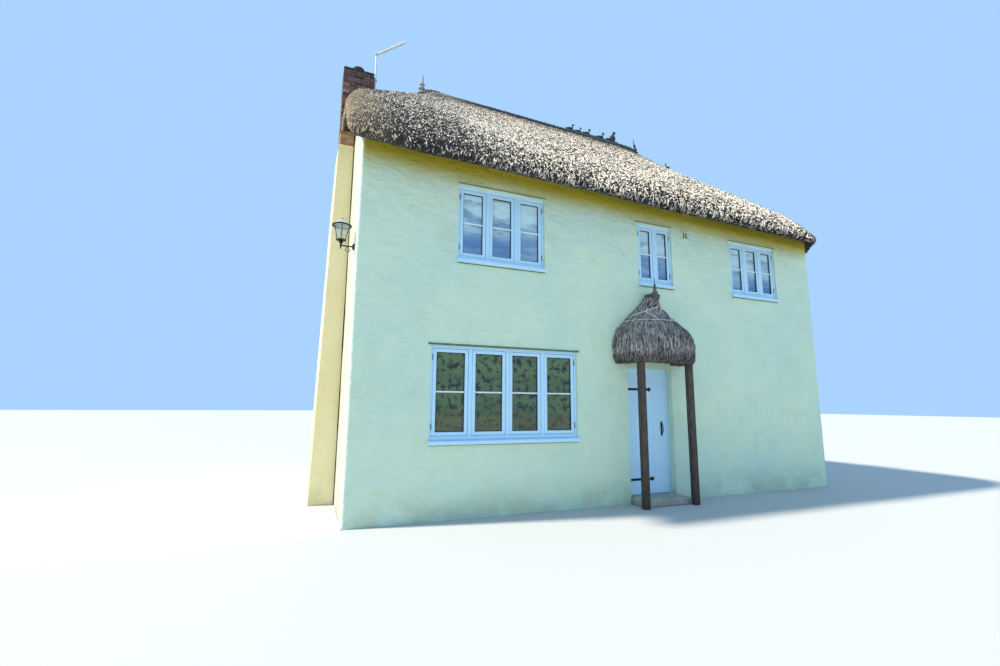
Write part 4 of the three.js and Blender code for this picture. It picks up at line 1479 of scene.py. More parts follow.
@dataclass
class Thatch:
    """The reed coat with its tufts."""

    form: RoofForm
    finishes: Finishes
    tufts: ReedTufts
    step: float = 0.075
    slope_steps: int = 34
    tufts_per_side: tuple[float, float, float, float] = (48500, 22000, 34000, 14000)
    lifts: tuple[float, float, float, float] = (0.42, 0.38, 0.42, 0.20)
    lengths: tuple[float, float, float, float] = (0.092, 0.088, 0.092, 0.070)
    stack_margin: float = 0.03
    roll_clear: float = 0.09
    inset: float = 0.014
    tuft_width: float = 0.0175
    wander: float = 0.85
    first_seed: int = 7
    names: tuple[str, ...] = ("front", "right_hip", "back", "left_half_hip")

    def rings(self) -> list[tuple[str, float, float, float]]:
        """Rings from ridge to wall: what each aims at, its share of the way, its drop and its way down.

        Returns:
            A row for each ring.
        """
        rows = []
        edge = self.form.brow[0][0]
        for i in range(self.slope_steps):
            share = 1 - (1 - edge) * i / self.slope_steps
            rows.append(("ridge", share, 0.0, 1 - share))
        brow = self._smoothed(self.form.brow, 3)
        rows += [("ridge", share, drop, 1 - share) for share, drop in brow]
        lip = self._smoothed([(0.0, self.form.brow[-1][1]), *self.form.lip], 3)[1:]
        rows += [("wall", share, drop, 1 + share) for share, drop in lip]
        return rows

    @staticmethod
    def _smoothed(stops: Sequence[Point], parts: int) -> list[tuple[float, float]]:
        """More points on a smooth curve through the stops.

        Args:
            stops: The stops.
            parts: New points for each stop.

        Returns:
            The points.
        """
        stops = [Vector((*s, 0)) for s in stops]
        result = []
        for i in range(len(stops) - 1):
            before, after = stops[max(i - 1, 0)], stops[min(i + 2, len(stops) - 1)]
            here, there = stops[i], stops[i + 1]
            for k in range(parts):
                t = k / parts
                point = 0.5 * (
                    2 * here + (there - before) * t + (2 * before - 5 * here + 4 * there - after) * t * t
                    + (3 * here - before - 3 * there + after) * t ** 3
                )
                result.append((point.x, point.y))
        result.append((stops[-1].x, stops[-1].y))
        return result

    def grid(self) -> tuple[np.ndarray, np.ndarray, np.ndarray]:
        """The coat's points.

        Returns:
            Rings of points in the row frame, each ring's way down, and each column's side.
        """
        form = self.form
        edge, sides = form.eaves(self.step)
        ends = form.ridge_ends()
        ridge = np.stack([np.clip(edge[:, 0], *ends), np.full(len(edge), form.middle)], 1)
        wall = np.stack([np.clip(edge[:, 0], 0, form.length), np.clip(edge[:, 1], 0, form.depth)], 1)
        rings, downs = [], []
        for target, share, drop, down in self.rings():
            aim = ridge if target == "ridge" else wall
            plan = edge + (aim - edge) * share
            rings.append(np.column_stack([plan, form.lowered(plan[:, 0], plan[:, 1], drop)]))
            downs.append(down)
        last = rings[-1]
        foot = np.column_stack([wall, form.under(wall[:, 0], wall[:, 1])])
        for share in (0.25, 0.5, 0.75, 1.0):
            rings.append(last + (foot - last) * share)
            downs.append(1.3 + share)
        for share in (0.2, 0.4, 0.6, 0.8, 1.0):
            plan = wall + (ridge - wall) * share
            rings.append(np.column_stack([plan, form.under(plan[:, 0], plan[:, 1])]))
            downs.append(3.0)
        rings = np.array(rings)
        rings[:, :, 0] -= form.length / 2
        rings[:, :, 1] -= form.middle
        return rings, np.array(downs), sides

    def settled(self, rings: np.ndarray, downs: np.ndarray) -> np.ndarray:
        """The rings with the coat's slight hollows, swells and ragged eave.

        Args:
            rings: The even rings.
            downs: Each ring's way down.

        Returns:
            The moved rings.
        """
        across = np.roll(rings, -1, 1) - np.roll(rings, 1, 1)
        normal = unit(np.cross(np.gradient(rings, axis=0), across))
        result = rings.copy()
        for i, down in enumerate(downs):
            if down >= 2.0 or down < 0.02:
                continue
            reach = 0.013 + 0.008 * min(down, 1.0)
            fade = min(1.0, down / 0.12)
            for j in range(rings.shape[1]):
                point = Vector(rings[i, j])
                swell = ripple(point, 1.1) * reach + ripple(point, 4.0, 3.0) * 0.006
                swell += ripple(point, 11.0, 7.0) * 0.003
                result[i, j] -= normal[i, j] * (swell + self.inset) * fade
        return result

    def build(self) -> None:
        """Makes the coat and its tufts."""
        rings, downs, sides = self.grid()
        outward = self.settled(rings, downs)
        count = outward.shape[1]
        stack_low, stack_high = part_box("chimney_stack")
        faces = quads(range(len(downs) - 1), range(count), count, turned=True)
        coat = self._mesh("thatch_coat", outward, downs, faces)
        pierced = self._pierced(coat, stack_low, stack_high)
        place("thatch_coat", pierced, self.finishes.reed_bed, ["thatch_roof"])
        outer = [i for i in range(len(downs) - 1) if downs[i + 1] < 2.31]
        for side, name in enumerate(self.names):
            columns = [j for j in range(count) if sides[j] == side]
            skin = self._mesh(f"{name}_skin", outward, downs, quads(outer, columns, count, turned=True))
            self._mark(skin, stack_low, stack_high)
            area = sum(p.area for p in skin.polygons)
            density = self.tufts_per_side[side] / area
            mesh = self.tufts.mesh(
                f"thatch_reed_{name}", skin, self.finishes.reed,
                Tufts_per_square_metre=density, Tuft_length=self.lengths[side],
                Tuft_width=self.tuft_width, Wander=self.wander, Lift=self.lifts[side],
                Seed=self.first_seed + side,
            )
            place(f"thatch_reed_{name}", mesh, self.finishes.reed)

    @staticmethod
    def _mesh(name: str, rings: np.ndarray, downs: np.ndarray, faces: list[list[int]]) -> bpy.types.Mesh:
        """A mesh over the rings, with the way down and the slope's direction at each point.

        Args:
            name: The mesh's name.
            rings: The rings.
            downs: Each ring's way down.
            faces: The faces.

        Returns:
            The mesh.
        """
        count = rings.shape[1]
        mesh = bpy.data.meshes.new(name)
        mesh.from_pydata(rings.reshape(-1, 3).tolist(), [], faces)
        across = unit(np.roll(rings, -1, 1) - np.roll(rings, 1, 1))
        near_ridge = (downs < 0.15)[:, None, None]
        fall = np.where(near_ridge, across, unit(np.gradient(rings, axis=0)))
        give(mesh, "down", np.repeat(downs, count))
        give(mesh, "fall", fall.ravel(), vectors=True)
        work = bmesh.new()
        work.from_mesh(mesh)
        bmesh.ops.delete(work, geom=[v for v in work.verts if not v.link_faces], context="VERTS")
        bmesh.ops.remove_doubles(work, verts=work.verts, dist=1e-4)
        bmesh.ops.dissolve_degenerate(work, edges=work.edges, dist=1e-4)
        work.to_mesh(mesh)
        work.free()
        return smoothed(mesh)

    @staticmethod
    def _pierced(coat: bpy.types.Mesh, low: Vector, high: Vector) -> bpy.types.Mesh:
        """The coat with the stack's hole cut through it.

        Args:
            coat: The coat.
            low: The stack's lowest corner.
            high: Its highest corner.

        Returns:
            The mesh.
        """
        cutter_shape = Shape()
        gap = Vector((0.002, 0.002, 0.0))
        cutter_shape.box(low - gap, high + gap + Vector((0, 0, 1)), 0.0001)
        cutter = linked("stack_cutter", cutter_shape.mesh("stack_cutter"))
        result = modified(coat, "BOOLEAN", {"object": cutter, "solver": "EXACT"})
        bpy.data.objects.remove(cutter)
        return result

    def _mark(self, skin: bpy.types.Mesh, low: Vector, high: Vector) -> None:
        """Keeps tufts away from the stack and from under the ridge roll, and marks where the painted shade
        along the hips goes.

        Args:
            skin: The mesh that carries the tufts.
            low: The stack's lowest corner.
            high: Its highest corner.
        """
        roll_low, roll_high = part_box("thatch_ridge")
        keep = []
        hips = []
        for vertex in skin.vertices:
            x, y, z = vertex.co
            plan_x, plan_y = np.array(x + self.form.length / 2), np.array(y + self.form.middle)
            front, back, hip, _ = self.form.slopes(plan_x, plan_y)
            past = float(min(front, back) - hip)
            # Where the grey painted shade along the hips goes.
            hips.append(float(np.interp(past, (-0.92, -0.76, 0.10, 0.45), (0.0, 1.0, 1.0, 0.0))))
            m = self.stack_margin
            in_stack = low.x - m < x < high.x + m and low.y - m < y < high.y + m and z > low.z
            in_roll = roll_low.x < x < roll_high.x and abs(y) < self.roll_clear and z > 7
            keep.append(0.0 if in_stack or in_roll else 1.0)
        give(skin, "keep", keep)
        give(skin, "hip", hips)


# The walls


@dataclass
class RenderedWalls:
    """The walls and the chimney breast, as lumpy render with soft corners."""

    finishes: Finishes
    spacing: float = 0.085
    offset: float = 0.0137
    corner: float = 0.05
    swell: float = 0.0085
    opening_fade: float = 0.09

    def build(self) -> None:
        """Makes each wall."""
        f = self.finishes
        washes = {
            "front_wall": f.front_wash, "back_wall": f.front_wash, "left_gable_wall": f.gable_wash,
            "right_end_wall": f.front_wash, "chimney_breast": f.breast_wash,
        }
        for node, wash in washes.items():
            place(f"{node}_render", self.rendered(node), wash, [node])

    def cuts(self, low: Vector, high: Vector, axis: int) -> list[float]:
        """Where the grid cuts an axis, with closer cuts near the corners.

        Args:
            low: The wall's lowest corner.
            high: Its highest corner.
            axis: The axis, 0 to 2.

        Returns:
            The places on that axis.
        """
        first = math.ceil((low[axis] - self.offset) / self.spacing)
        last = math.floor((high[axis] - self.offset) / self.spacing)
        places = [self.offset + self.spacing * i for i in range(first, last + 1)]
        if axis < 2:
            near = [self.corner * share for share in (0.12, 0.3, 0.55, 1.0)]
            places += [low[axis] + d for d in near] + [high[axis] - d for d in near]
        return places

    def rendered(self, node: str) -> bpy.types.Mesh:
        """A CAD wall cut into a fine grid, then given the render's lumps.

        Args:
            node: The wall's node.

        Returns:
            The new mesh.
        """
        work = node_copy(node)
        low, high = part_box(node)
        planes = [self.cuts(low, high, axis) for axis in range(3)]
        for axis, places in enumerate(planes):
            normal = [0.0, 0.0, 0.0]
            normal[axis] = 1.0
            for at in places:
                point = [0.0, 0.0, 0.0]
                point[axis] = at
                geom = work.verts[:] + work.edges[:] + work.faces[:]
                bmesh.ops.bisect_plane(work, geom=geom, dist=1e-6, plane_co=point, plane_no=normal)
        self._join_cells(work, planes)
        house_low, house_high = self._house()
        openings = self._openings(low, high)
        for vertex in work.verts:
            vertex.co = self._moved(vertex.co, vertex.normal.copy(), house_low, house_high, openings)
        return smoothed(freed(work, f"{node}_render"), 30)

    @staticmethod
    def _house() -> tuple[Vector, Vector]:
        """The walls' outer corners."""
        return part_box("front_wall")[0], Vector((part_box("front_wall")[1].x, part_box("back_wall")[1].y, 0))

    @staticmethod
    def _openings(low: Vector, high: Vector) -> list[tuple[float, float, float, float]]:
        """Boxes of the windows and doors, as x and z ranges.

        Args:
            low: The wall's lowest corner.
            high: Its highest corner.

        Returns:
            The ranges of each opening near that wall.
        """
        names = [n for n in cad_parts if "window" in n and n.endswith("_frame")]
        names += ["front_door_frame", "back_door_frame", "wall_vent"]
        boxes = []
        for name in names:
            a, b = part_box(name)
            if b.y > low.y - 0.1 and a.y < high.y + 0.1:
                boxes.append((a.x, b.x, a.z, b.z))
        return boxes

    @staticmethod
    def _join_cells(work: bmesh.types.BMesh, planes: list[list[float]]) -> None:
        """Dissolves the flat edges that aren't on the grid.

        Args:
            work: The wall.
            planes: The grid's cuts along each axis.
        """
        found = []
        marks = [set(round(p, 5) for p in places) for places in planes]
        for edge in work.edges:
            if len(edge.link_faces) != 2 or edge.calc_face_angle(1.0) > 0.01:
                continue
            a, b = edge.verts[0].co, edge.verts[1].co
            kept = any(
                abs(a[axis] - b[axis]) < 1e-5 and any(abs(a[axis] - m) < 2e-5 for m in marks[axis])
                for axis in range(3)
            )
            if not kept:
                found.append(edge)
        bmesh.ops.dissolve_edges(work, edges=found, use_verts=False)

    def _moved(
        self, point: Vector, normal: Vector, low: Vector, high: Vector,
        openings: list[tuple[float, float, float, float]],
    ) -> Vector:
        """Where a point of the wall goes: round the corners, and in by the render's swell.

        Args:
            point: The point.
            normal: Its normal.
            low: The house's lowest corner.
            high: Its highest corner.
            openings: The openings, beside which the wall stays flat.

        Returns:
            The new place.
        """
        inside = min(point.x - low.x, high.x - point.x, point.y - low.y, high.y - point.y)
        if inside > 1e-3 and low.x < point.x:
            return point
        result = point.copy()
        r = self.corner
        for cx in (low.x, high.x):
            for cy in (low.y, high.y):
                sx, sy = (1 if cx == low.x else -1), (1 if cy == low.y else -1)
                dx, dy = (result.x - cx) * sx, (result.y - cy) * sy
                if -1e-4 <= dx < r and -1e-4 <= dy < r:
                    away = Vector((dx - r, dy - r))
                    if away.length > r:
                        away = away.normalized() * r
                    result.x, result.y = cx + sx * (r + away.x), cy + sy * (r + away.y)
        fade = 1.0
        for x0, x1, z0, z1 in openings:
            gap = max(x0 - point.x, point.x - x1, z0 - point.z, point.z - z1)
            fade = min(fade, max(0.0, gap / self.opening_fade))
        swell = ripple(point, 0.9, 1.0) * 0.5 + ripple(point, 2.6, 4.0) * 0.35
        swell += ripple(point, 6.5, 9.0) * 0.15
        depth = self.swell * (0.9 + swell) * fade
        flat = Vector((normal.x, normal.y, 0))
        if flat.length < 0.3:
            return result
        return result - flat.normalized() * depth


# Joinery


def as_front(low: Vector, high: Vector, facing: Facing) -> tuple[Vector, Vector]:
    """A box's corners, as if it were in the front wall.

    Args:
        low: The lowest corner.
        high: The highest corner.
        facing: The wall that the box is in.

    Returns:
        Its lowest and highest corner there.
    """
    if facing is Facing.BACK:
        return Vector((-high.x, -high.y, low.z)), Vector((-low.x, -low.y, high.z))
    return low, high


@dataclass
class Window:
    """A casement window seen from outside: frame, sashes, bars, beads, panes, hinges and sill."""

    stem: str
    lights: int
    facing: Facing
    finishes: Finishes
    glass: bpy.types.Material
    bars: int = 1
    jamb: float = 0.035
    rail: float = 0.050
    setback: float = 0.030
    depth: float = 0.090
    sash: float = 0.047
    sash_depth: float = 0.026
    sash_setback: float = 0.006
    clearance: float = 0.004
    bar: float = 0.020
    bead: float = 0.010
    sill_depth: float = 0.058
    sill_horn: float = 0.008
    sill_nose: float = 0.050
    hinge_from_end: float = 0.17
    wall_y: float = field(init=False)
    hole: tuple[float, float, float, float] = field(init=False)

    def __post_init__(self) -> None:
        """Takes the opening from the CAD glass."""
        low, high = as_front(*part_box(f"{self.stem}_glass"), self.facing)
        self.hole = (low.x - self.jamb, high.x + self.jamb, low.z - self.rail, high.z + self.rail)
        self.wall_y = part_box("front_wall")[0].y

    @property
    def heights(self) -> tuple[float, float]:
        """The lights' foot and head, between the rails."""
        return self.hole[2] + self.rail, self.hole[3] - self.rail

    def spans(self) -> list[tuple[float, float]]:
        """The lights' spans between jambs and mullions.

        Returns:
            Each light's left and right edge.
        """
        x0, x1 = self.hole[0] + self.jamb, self.hole[1] - self.jamb
        pitch = (x1 - x0 + self.rail) / self.lights
        return [(x0 + i * pitch, x0 + (i + 1) * pitch - self.rail) for i in range(self.lights)]

    def build(self) -> None:
        """Makes the window's pieces."""
        f = self.finishes
        place(f"{self.stem}_joinery", self.joinery(), f.paint, [f"{self.stem}_frame"])
        place(f"{self.stem}_glazing_bars", self.glazing_bars(), f.white_paint)
        place(f"{self.stem}_beads", self.beads(), f.dark_bead_and_shade)
        place(f"{self.stem}_panes", self.panes(), self.glass, [f"{self.stem}_glass"])
        place(f"{self.stem}_hinges", self.hinges(), f.steel)

    def _box(self, shape: Shape, x: Point, d: Point, z: Point, chamfer: float = 0.003) -> None:
        """A bar between two values of x, of depth behind the wall's face, and of height."""
        shape.box((x[0], self.wall_y + d[0], z[0]), (x[1], self.wall_y + d[1], z[1]), chamfer)

    def joinery(self) -> bpy.types.Mesh:
        """The frame, the mullions, the sashes and the sill.

        Returns:
            The mesh.
        """
        shape = Shape()
        x0, x1, z0, z1 = self.hole
        low, high = self.heights
        depth = (self.setback, self.setback + self.depth)
        self._box(shape, (x0, x1), depth, (high, z1))
        self._box(shape, (x0, x1), depth, (z0, low))
        for a in (x0, x1 - self.jamb):
            self._box(shape, (a, a + self.jamb), depth, (low, high))
        spans = self.spans()
        for (_, a), (b, _) in zip(spans, spans[1:]):
            self._box(shape, (a, b), depth, (low, high))
        for a, b in spans:
            self._sash(shape, a + self.clearance, b - self.clearance)
        self._sill(shape)
        return shape.mesh(f"{self.stem}_joinery", self.facing)

    def _sash(self, shape: Shape, a: float, b: float) -> None:
        """One casement's stiles and rails.

        Args:
            shape: The shape to add to.
            a: Its left edge.
            b: Its right edge.
        """
        low, high = self.heights
        low, high = low + self.clearance, high - self.clearance
        front = self.setback + self.sash_setback
        back = front + self.sash_depth
        s = self.sash
        self._box(shape, (a, a + s), (front, back), (low, high), 0.004)
        self._box(shape, (b - s, b), (front, back), (low, high), 0.004)
        self._box(shape, (a + s, b - s), (front, back), (low, low + s), 0.004)
        self._box(shape, (a + s, b - s), (front, back), (high - s, high), 0.004)

    def beads(self) -> bpy.types.Mesh:
        """The dark glazing beads inside each sash, which also stand in for the shade under the rails.

        Returns:
            The mesh.
        """
        shape = Shape()
        low, high = self.heights
        low, high = low + self.clearance + self.sash, high - self.clearance - self.sash
        front = self.wall_y + self.setback + self.sash_setback
        back = front + self.sash_depth
        p = self.bead
        for span in self.spans():
            a, b = span[0] + self.clearance + self.sash, span[1] - self.clearance - self.sash
            ring = [(a, low), (b, low), (b, high), (a, high)]
            tight = [(a + p, low + p), (b - p, low + p), (b - p, high - p), (a + p, high - p)]
            points = [(x, front + 0.005, z) for x, z in ring]
            points += [(x, back - 0.002, z) for x, z in tight]
            points += [(x, back, z) for x, z in ring]
            faces = []
            for i in range(4):
                n = (i + 1) % 4
                faces += [[i, n, 4 + n, 4 + i], [4 + i, 4 + n, 8 + n, 8 + i], [8 + i, 8 + n, n, i]]
            shape.add(points, faces)
        return shape.mesh(f"{self.stem}_beads", self.facing)

    def _sill(self, shape: Shape) -> None:
        """A weathered sill with a sloping top and a throat under its nose.

        Args:
            shape: The shape to add to.
        """
        x0, x1, z0, _ = self.hole
        a, b = x0 - self.sill_horn, x1 + self.sill_horn
        y = self.wall_y
        top, foot = z0, z0 - self.sill_depth
        nose = -self.sill_nose
        section = [
            (nose, foot + 0.004), (nose, top - 0.014), (nose + 0.006, top - 0.007), (0.0, top - 0.001),
            (0.0, foot), (-0.022, foot), (-0.026, foot + 0.007), (-0.030, foot), (nose + 0.004, foot),
        ]
        shape.joined([[(x, y + d, z) for d, z in section] for x in (a, b)], smooth=False)
        self._box(shape, (x0, x1), (0.0, self.setback + self.depth), (foot, top - 0.0005), 0.001)

    def glazing_bars(self) -> bpy.types.Mesh:
        """The bars that cross each light.

        Returns:
            The mesh.
        """
        shape = Shape()
        low, high = self.heights
        low, high = low + self.sash, high - self.sash
        front = self.setback + self.sash_setback
        depth = (front + 0.004, front + self.sash_depth)
        for a, b in self.spans():
            across = (a + self.sash + self.clearance, b - self.sash - self.clearance)
            for i in range(self.bars):
                z = low + (high - low) * (i + 1) / (self.bars + 1)
                self._box(shape, across, depth, (z - self.bar / 2, z + self.bar / 2), 0.005)
        return shape.mesh(f"{self.stem}_glazing_bars", self.facing)

    def panes(self) -> bpy.types.Mesh:
        """A pane in every light, above and below each bar.

        Returns:
            The mesh.
        """
        shape = Shape()
        back = self.setback + self.sash_setback + self.sash_depth
        depth = (back + 0.0005, back + 0.0045)
        low, high = self.heights
        low, high = low + self.sash - 0.01, high - self.sash + 0.01
        for a, b in self.spans():
            across = (a + self.sash - 0.01, b - self.sash + 0.01)
            for i in range(self.bars + 1):
                foot = low + (high - low) * i / (self.bars + 1)
                head = low + (high - low) * (i + 1) / (self.bars + 1)
                self._box(shape, across, depth, (foot + 0.0005, head - 0.0005), 0.0004)
        return shape.mesh(f"{self.stem}_panes", self.facing)

    def hinges(self) -> bpy.types.Mesh:
        """Two slim hinges on the outer edge of each outer casement.

        Returns:
            The mesh.
        """
        shape = Shape()
        _, _, z0, z1 = self.hole
        spans = self.spans()
        y = self.wall_y + self.setback - 0.002
        for x, way in ((spans[0][0], -1), (spans[-1][1], 1)):
            for z in (z0 + self.hinge_from_end, z1 - self.hinge_from_end):
                shape.turned([(0, -0.046), (0.0042, -0.044), (0.0042, 0.044), (0, 0.046)], (x, y, z), 12)
                leaf = (x + way * 0.003, x + way * 0.012)
                shape.box((min(leaf), y + 0.0005, z - 0.036), (max(leaf), y + 0.003, z + 0.036), 0.0006)
                for level in (-0.024, 0.024):
                    at = (x + way * 0.008, y, z + level)
                    shape.turned([(0, -0.001), (0.0028, 0), (0, 0.001)], at, 8, "Y")
        return shape.mesh(f"{self.stem}_hinges", self.facing)


@dataclass
class Door:
    """A boarded door in its frame, with straps, a latch and a stone step."""

    stem: str
    facing: Facing
    finishes: Finishes
    boards: int = 6
    joint: float = 0.004
    ledges: tuple[float, ...] = (0.12, 0.5, 0.86)
    straps: tuple[float, ...] = (0.12, 0.86)
    latch_height: float = 0.98

    def build(self) -> None:
        """Makes the door's pieces."""
        f = self.finishes
        eased = softened(f"{self.stem}_frame", 0.004)
        place(f"{self.stem}_frame_eased", eased, f.paint, [f"{self.stem}_frame"])
        place(f"{self.stem}_boards", self.leaf(), f.paint, [self.stem])
        place(f"{self.stem}_ironwork", self.ironwork(), f.iron)
        step = f"{self.stem}step"
        place(f"{step}_worn", softened(step, 0.018, 4), f.stone, [step])

    def leaf(self) -> bpy.types.Mesh:
        """Upright boards with V joints, on ledges.

        Returns:
            The mesh.
        """
        low, high = as_front(*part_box(self.stem), self.facing)
        shape = Shape()
        width = (high.x - low.x) / self.boards
        for i in range(self.boards):
            a = low.x + i * width
            shape.box((a + 0.0004, low.y, low.z), (a + width - 0.0004, low.y + 0.026, high.z), self.joint)
        for share in self.ledges:
            z = low.z + (high.z - low.z) * share
            shape.box((low.x + 0.03, low.y + 0.0262, z - 0.06), (high.x - 0.03, high.y, z + 0.06), 0.006)
        return shape.mesh(f"{self.stem}_boards", self.facing)

    def ironwork(self) -> bpy.types.Mesh:
        """Strap hinges, their nails, a thumb latch and a ring.

        Returns:
            The mesh.
        """
        low, high = as_front(*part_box(self.stem), self.facing)
        shape = Shape()
        y = low.y
        for share in self.straps:
            z = low.z + (high.z - low.z) * share
            shape.box((low.x + 0.01, y - 0.005, z - 0.018), (low.x + 0.40, y - 0.0002, z + 0.018), 0.002)
            rose = [(0, -0.006), (0.032, -0.003), (0.032, 0.0), (0, 0.001)]
            shape.turned(rose, (low.x + 0.42, y - 0.0015, z), 20, "Y")
            for k in range(5):
                at = (low.x + 0.05 + 0.08 * k, y - 0.005, z)
                shape.turned([(0, -0.004), (0.007, 0.0), (0, 0.001)], at, 10, "Y")
        x, z = high.x - 0.09, low.z + self.latch_height
        shape.box((x - 0.018, y - 0.004, z - 0.11), (x + 0.018, y - 0.0002, z + 0.11), 0.002)
        arc = [math.pi * k / 10 for k in range(11)]
        shape.tube([(x, y - 0.005 - 0.040 * math.sin(a), z + 0.075 * math.cos(a)) for a in arc], 0.006, 8)
        shape.box((x - 0.012, y - 0.030, z + 0.085), (x + 0.012, y - 0.004, z + 0.092), 0.002)
        return shape.mesh(f"{self.stem}_ironwork", self.facing)


# The chimney and its aerial


@dataclass
class Chimney:
    """The brick stack with its bed of mortar, its pot and the bricks on the breast's shoulders."""

    finishes: Finishes
    pattern: Pattern
    course: float = 0.067
    joint: float = 0.010
    brick: tuple[float, float, float] = (0.215, 0.1025, 0.065)
    recess: float = 0.004
    shoulder_courses: int = 4
    shoulder: tuple[float, float, float, float] = (-4.482, -4.264, 5.572, 5.828)
    shoulder_run: tuple[float, float] = (0.315, 1.193)

    def build(self) -> None:
        """Makes the chimney's pieces."""
        f = self.finishes
        low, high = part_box("chimney_stack")
        place("stack_bricks", self.bricks(low, high), f.brick, ["chimney_stack"])
        place("stack_mortar", self.core(low, high), f.stack_mortar)
        place("shoulder_bricks", self.shoulders(), f.shoulder_brick)
        place("shoulder_mortar", self.shoulder_core(), f.mortar)
        bed = softened("chimney_flaunching", 0.012, 3)
        place("flaunching_bed", bed, f.mortar, ["chimney_flaunching"])
        place("chimney_pot_fired", self.pot(), f.clay, ["chimney_pot"])

    @staticmethod
    def form() -> bpy.types.Mesh:
        """One brick of unit length, width and height, with worn arrises.

        Returns:
            The mesh.
        """
        shape = Shape()
        shape.box((-0.5, -0.5, -0.5), (0.5, 0.5, 0.5), 0.03)
        return shape.mesh("brick_form")

    def bricks(self, low: Vector, high: Vector) -> bpy.types.Mesh:
        """Courses of bricks round the stack.

        Args:
            low: The stack's lowest corner.
            high: Its highest corner.

        Returns:
            The bricks as one mesh.
        """
        draw = random.Random(31)
        spots = []
        levels = round((high.z - low.z) / self.course)
        rise = (high.z - low.z) / levels
        for level in range(levels):
            z = low.z + (level + 0.5) * rise
            self._course(spots, draw, low, high, z, rise - self.joint, level % 2 == 1)
        return self.pattern.mesh("stack_bricks", self.form(), spots, self.finishes.brick)

    def shoulders(self) -> bpy.types.Mesh:
        """Courses of cleaner bricks on the breast's shoulders, under the thatch.

        Returns:
            The mesh.
        """
        draw = random.Random(47)
        left, right, foot, head = self.shoulder
        near, far = self.shoulder_run
        rise = (head - foot) / self.shoulder_courses
        spots = []
        for side in (-1, 1):
            for level in range(self.shoulder_courses):
                z = foot + (level + 0.5) * rise
                tall = rise - self.joint
                at = far
                first = self.brick[1] if level % 2 else self.brick[0]
                while at > near:
                    length = min(first, at - near)
                    halves = 2 if level % 2 and at == far else 1
                    width = (right - left - self.joint * (halves - 1)) / halves
                    for k in range(halves):
                        x = left + width / 2 + k * (width + self.joint)
                        lean = draw.uniform(-0.012, 0.012)
                        size = (width * draw.uniform(0.975, 1.0), length, tall * draw.uniform(0.93, 1.0))
                        y = side * (at - length / 2)
                        spots.append(Spot((x, y, z), (0, 0, lean), size, draw.random()))
                    at -= length + self.joint
                    first = self.brick[0]
        return self.pattern.mesh("shoulder_bricks", self.form(), spots, self.finishes.shoulder_brick)

    def shoulder_core(self) -> bpy.types.Mesh:
        """The mortar between the shoulders' bricks.

        Returns:
            The mesh.
        """
        left, right, foot, head = self.shoulder
        near, far = self.shoulder_run
        shape = Shape()
        for y0, y1 in ((-far + 0.006, -near), (near, far - 0.006)):
            shape.box((left + 0.006, y0, foot + 0.002), (right - 0.002, y1, head - 0.004), 0.001)
        return shape.mesh("shoulder_mortar")

    def _course(
        self, spots: list[Spot], draw: random.Random, low: Vector, high: Vector, z: float, tall: float,
        turned: bool,
    ) -> None:
        """Adds one course: two faces run past the corners, and the other two fit between them.

        Args:
            spots: The list to add to.
            draw: The random draws.
            low: The stack's lowest corner.
            high: Its highest corner.
            z: The course's middle height.
            tall: The bricks' height.
            turned: Whether the faces along X run past the corners.
        """
        width = self.brick[1]
        for along, across in ((0, 1), (1, 0)):
            runs_through = (along == 0) == turned
            start, end = low[along], high[along]
            if not runs_through:
                start, end = start + width + self.joint, end - width - self.joint
            lengths = self._lengths(end - start)
            for side in (0, 1):
                at = start
                for length in lengths:
                    spot = [0.0, 0.0, z]
                    spot[along] = at + length / 2
                    edge = (low[across] + width / 2) if side == 0 else (high[across] - width / 2)
                    spot[across] = edge + draw.uniform(-0.0015, 0.0015)
                    size = [0.0, 0.0, tall * draw.uniform(0.96, 1.0)]
                    size[along], size[across] = length * draw.uniform(0.985, 1.0), width
                    spots.append(Spot(spot, (0, 0, draw.uniform(-0.006, 0.006)), size, draw.random()))
                    at += length + self.joint

    def _lengths(self, room: float) -> list[float]:
        """Splits a run into equal bricks of about one brick's length."""
        count = max(1, round((room + self.joint) / (self.brick[0] + self.joint)))
        return [(room - self.joint * (count - 1)) / count] * count

    def core(self, low: Vector, high: Vector) -> bpy.types.Mesh:
        """The mortar inside and between the bricks, hollow for the flue.

        Args:
            low: The stack's lowest corner.
            high: Its highest corner.

        Returns:
            The mesh.
        """
        shape = Shape()
        r = self.recess
        inner = self.brick[1] + 0.02
        for x0, x1, y0, y1 in (
            (low.x + r, high.x - r, low.y + r, low.y + inner),
            (low.x + r, high.x - r, high.y - inner, high.y - r),
            (low.x + r, low.x + inner, low.y + inner, high.y - inner),
            (high.x - inner, high.x - r, low.y + inner, high.y - inner),
        ):
            shape.box((x0, y0, low.z + 0.001), (x1, y1, high.z - 0.004), 0.001)
        return shape.mesh("stack_mortar")

    @staticmethod
    def pot() -> bpy.types.Mesh:
        """A thrown clay pot with a rolled rim.

        Returns:
            The mesh.
        """
        low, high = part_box("chimney_pot")
        centre = ((low.x + high.x) / 2, (low.y + high.y) / 2, low.z)
        radius = (high.x - low.x) / 2 / 1.12
        tall = high.z - low.z
        bore = radius - 0.022
        profile = [
            (bore, 0), (radius, 0), (radius * 0.99, tall * 0.3), (radius * 0.96, tall - 0.085),
            (radius * 0.97, tall - 0.075), (radius * 1.06, tall - 0.062), (radius * 1.11, tall - 0.045),
            (radius * 1.12, tall - 0.028), (radius * 1.10, tall - 0.010), (radius * 1.04, tall - 0.001),
            (radius * 0.95, tall - 0.004), (bore, tall - 0.02), (bore, 0),
        ]
        shape = Shape()
        shape.turned(profile, centre, 40)
        return shape.mesh("chimney_pot_fired")


